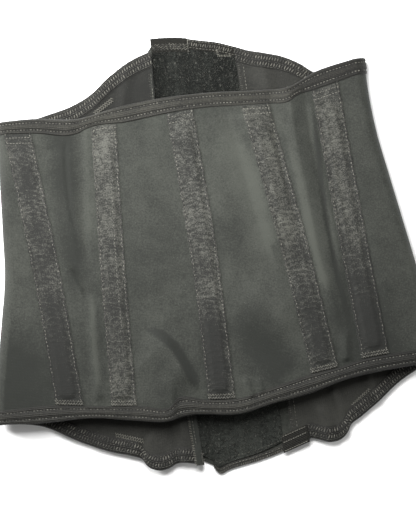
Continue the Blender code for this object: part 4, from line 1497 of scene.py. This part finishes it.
BODY_OF = {name: "back_panel" for name in STAYS}
BODY_OF.update({"left_wing_stay": "left_wing", "right_wing_stay": "right_wing"})
for name, body in BODY_OF.items():
    for obj in [TAPES[name].obj, STEELS[name].obj, *TAPE_SEAMS[name]]:
        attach(obj, body)
for obj in (end_hem.obj, loop_panel.obj, left_wing_seams):
    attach(obj, "left_wing")
for obj in (tab.obj, right_wing_seams):
    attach(obj, "right_wing")
flap_pieces = [slab.obj for slab in (flap_base, hook_panel, flap_top, flap_hem, flap_fold)]
for obj in (*flap_pieces, flap_seams, hook_fuzz):
    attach(obj, "closure_flap")

# %% [markdown]
# ## What stands for which CAD solid
# Each soft CAD solid is hidden, and the piece made from cloth stands for it. The steel stays are
# replaced too, because the real ones have round tips.

# %% Replaced nodes
for side in ("left", "right"):
    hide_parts("back_shell", f"{side}_wing_shell")
    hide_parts("back_lining", f"{side}_wing_lining")
    for at_top, edge in ((True, "top"), (False, "bottom")):
        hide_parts(f"back_{edge}_binding", f"{side}_wing_{edge}_binding")
for name in STAYS:
    tape_node = name.replace("back_stay", "back_stay_tape") if "back" in name else f"{name}_tape"
    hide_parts(tape_node)
    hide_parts(name)
for slab, node, slot in (
    (end_hem, "left_end_hem", "neoprene"), (loop_panel, "loop_panel", "loop"),
    (tab, "binding_end_tab", "binding"), (flap_base, "flap_base", "neoprene"),
    (hook_panel, "hook_panel", "hook"), (flap_top, "flap_top_binding", "binding"),
    (flap_hem, "flap_bottom_hem", "binding"),
):
    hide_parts(node)
print("CAD nodes still shown:", [n for n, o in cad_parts.items() if not o.hide_render])

# %% [markdown]
# ## The cut size of each sheet
# The size that each sheet of cloth was cut to is printed with its area. Each side is cut as one piece from
# the middle of the back, round the fold, to the end of its wing. Its area is measured on the grid of its
# outer face.

# %% Sheets
def cut_area(slab):
    """The area of the slab's outer grid in square metres."""
    grid = slab.outer * MM
    across = np.cross(grid[1:, 1:] - grid[:-1, :-1], grid[:-1, 1:] - grid[1:, :-1])
    return float(np.linalg.norm(across, axis=-1).sum() / 2)


def declare(slab, flat, with_pieces=()):
    area = cut_area(slab)
    print(slab.obj.name, "cut to", flat, "area", round(area, 4), "m2")


back_pieces = [TAPES[name].obj for name in STAYS if "back" in name]
declare(SHELLS["left"], (0.325, 0.320), [
    BINDINGS[("left", True)].obj, BINDINGS[("left", False)].obj, *back_pieces[:3]])
declare(SHELLS["right"], (0.270, 0.312), [
    BINDINGS[("right", True)].obj, BINDINGS[("right", False)].obj, *back_pieces[3:]])
declare(LININGS["left"], (0.325, 0.318))
declare(LININGS["right"], (0.270, 0.310))
declare(flap_base, (0.087, 0.330), [flap_top.obj, flap_hem.obj])
declare(hook_panel, (0.087, 0.315))
declare(loop_panel, (0.024, 0.267))
declare(end_hem, (0.010, 0.298))

# %% Sizes
corners = [[list(corner) for corner in box] for box in (cad_box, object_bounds())]
for name, box in zip(("cad", "visual"), corners):
    print(name, [[round(v / MM, 1) for v in corner] for corner in box])
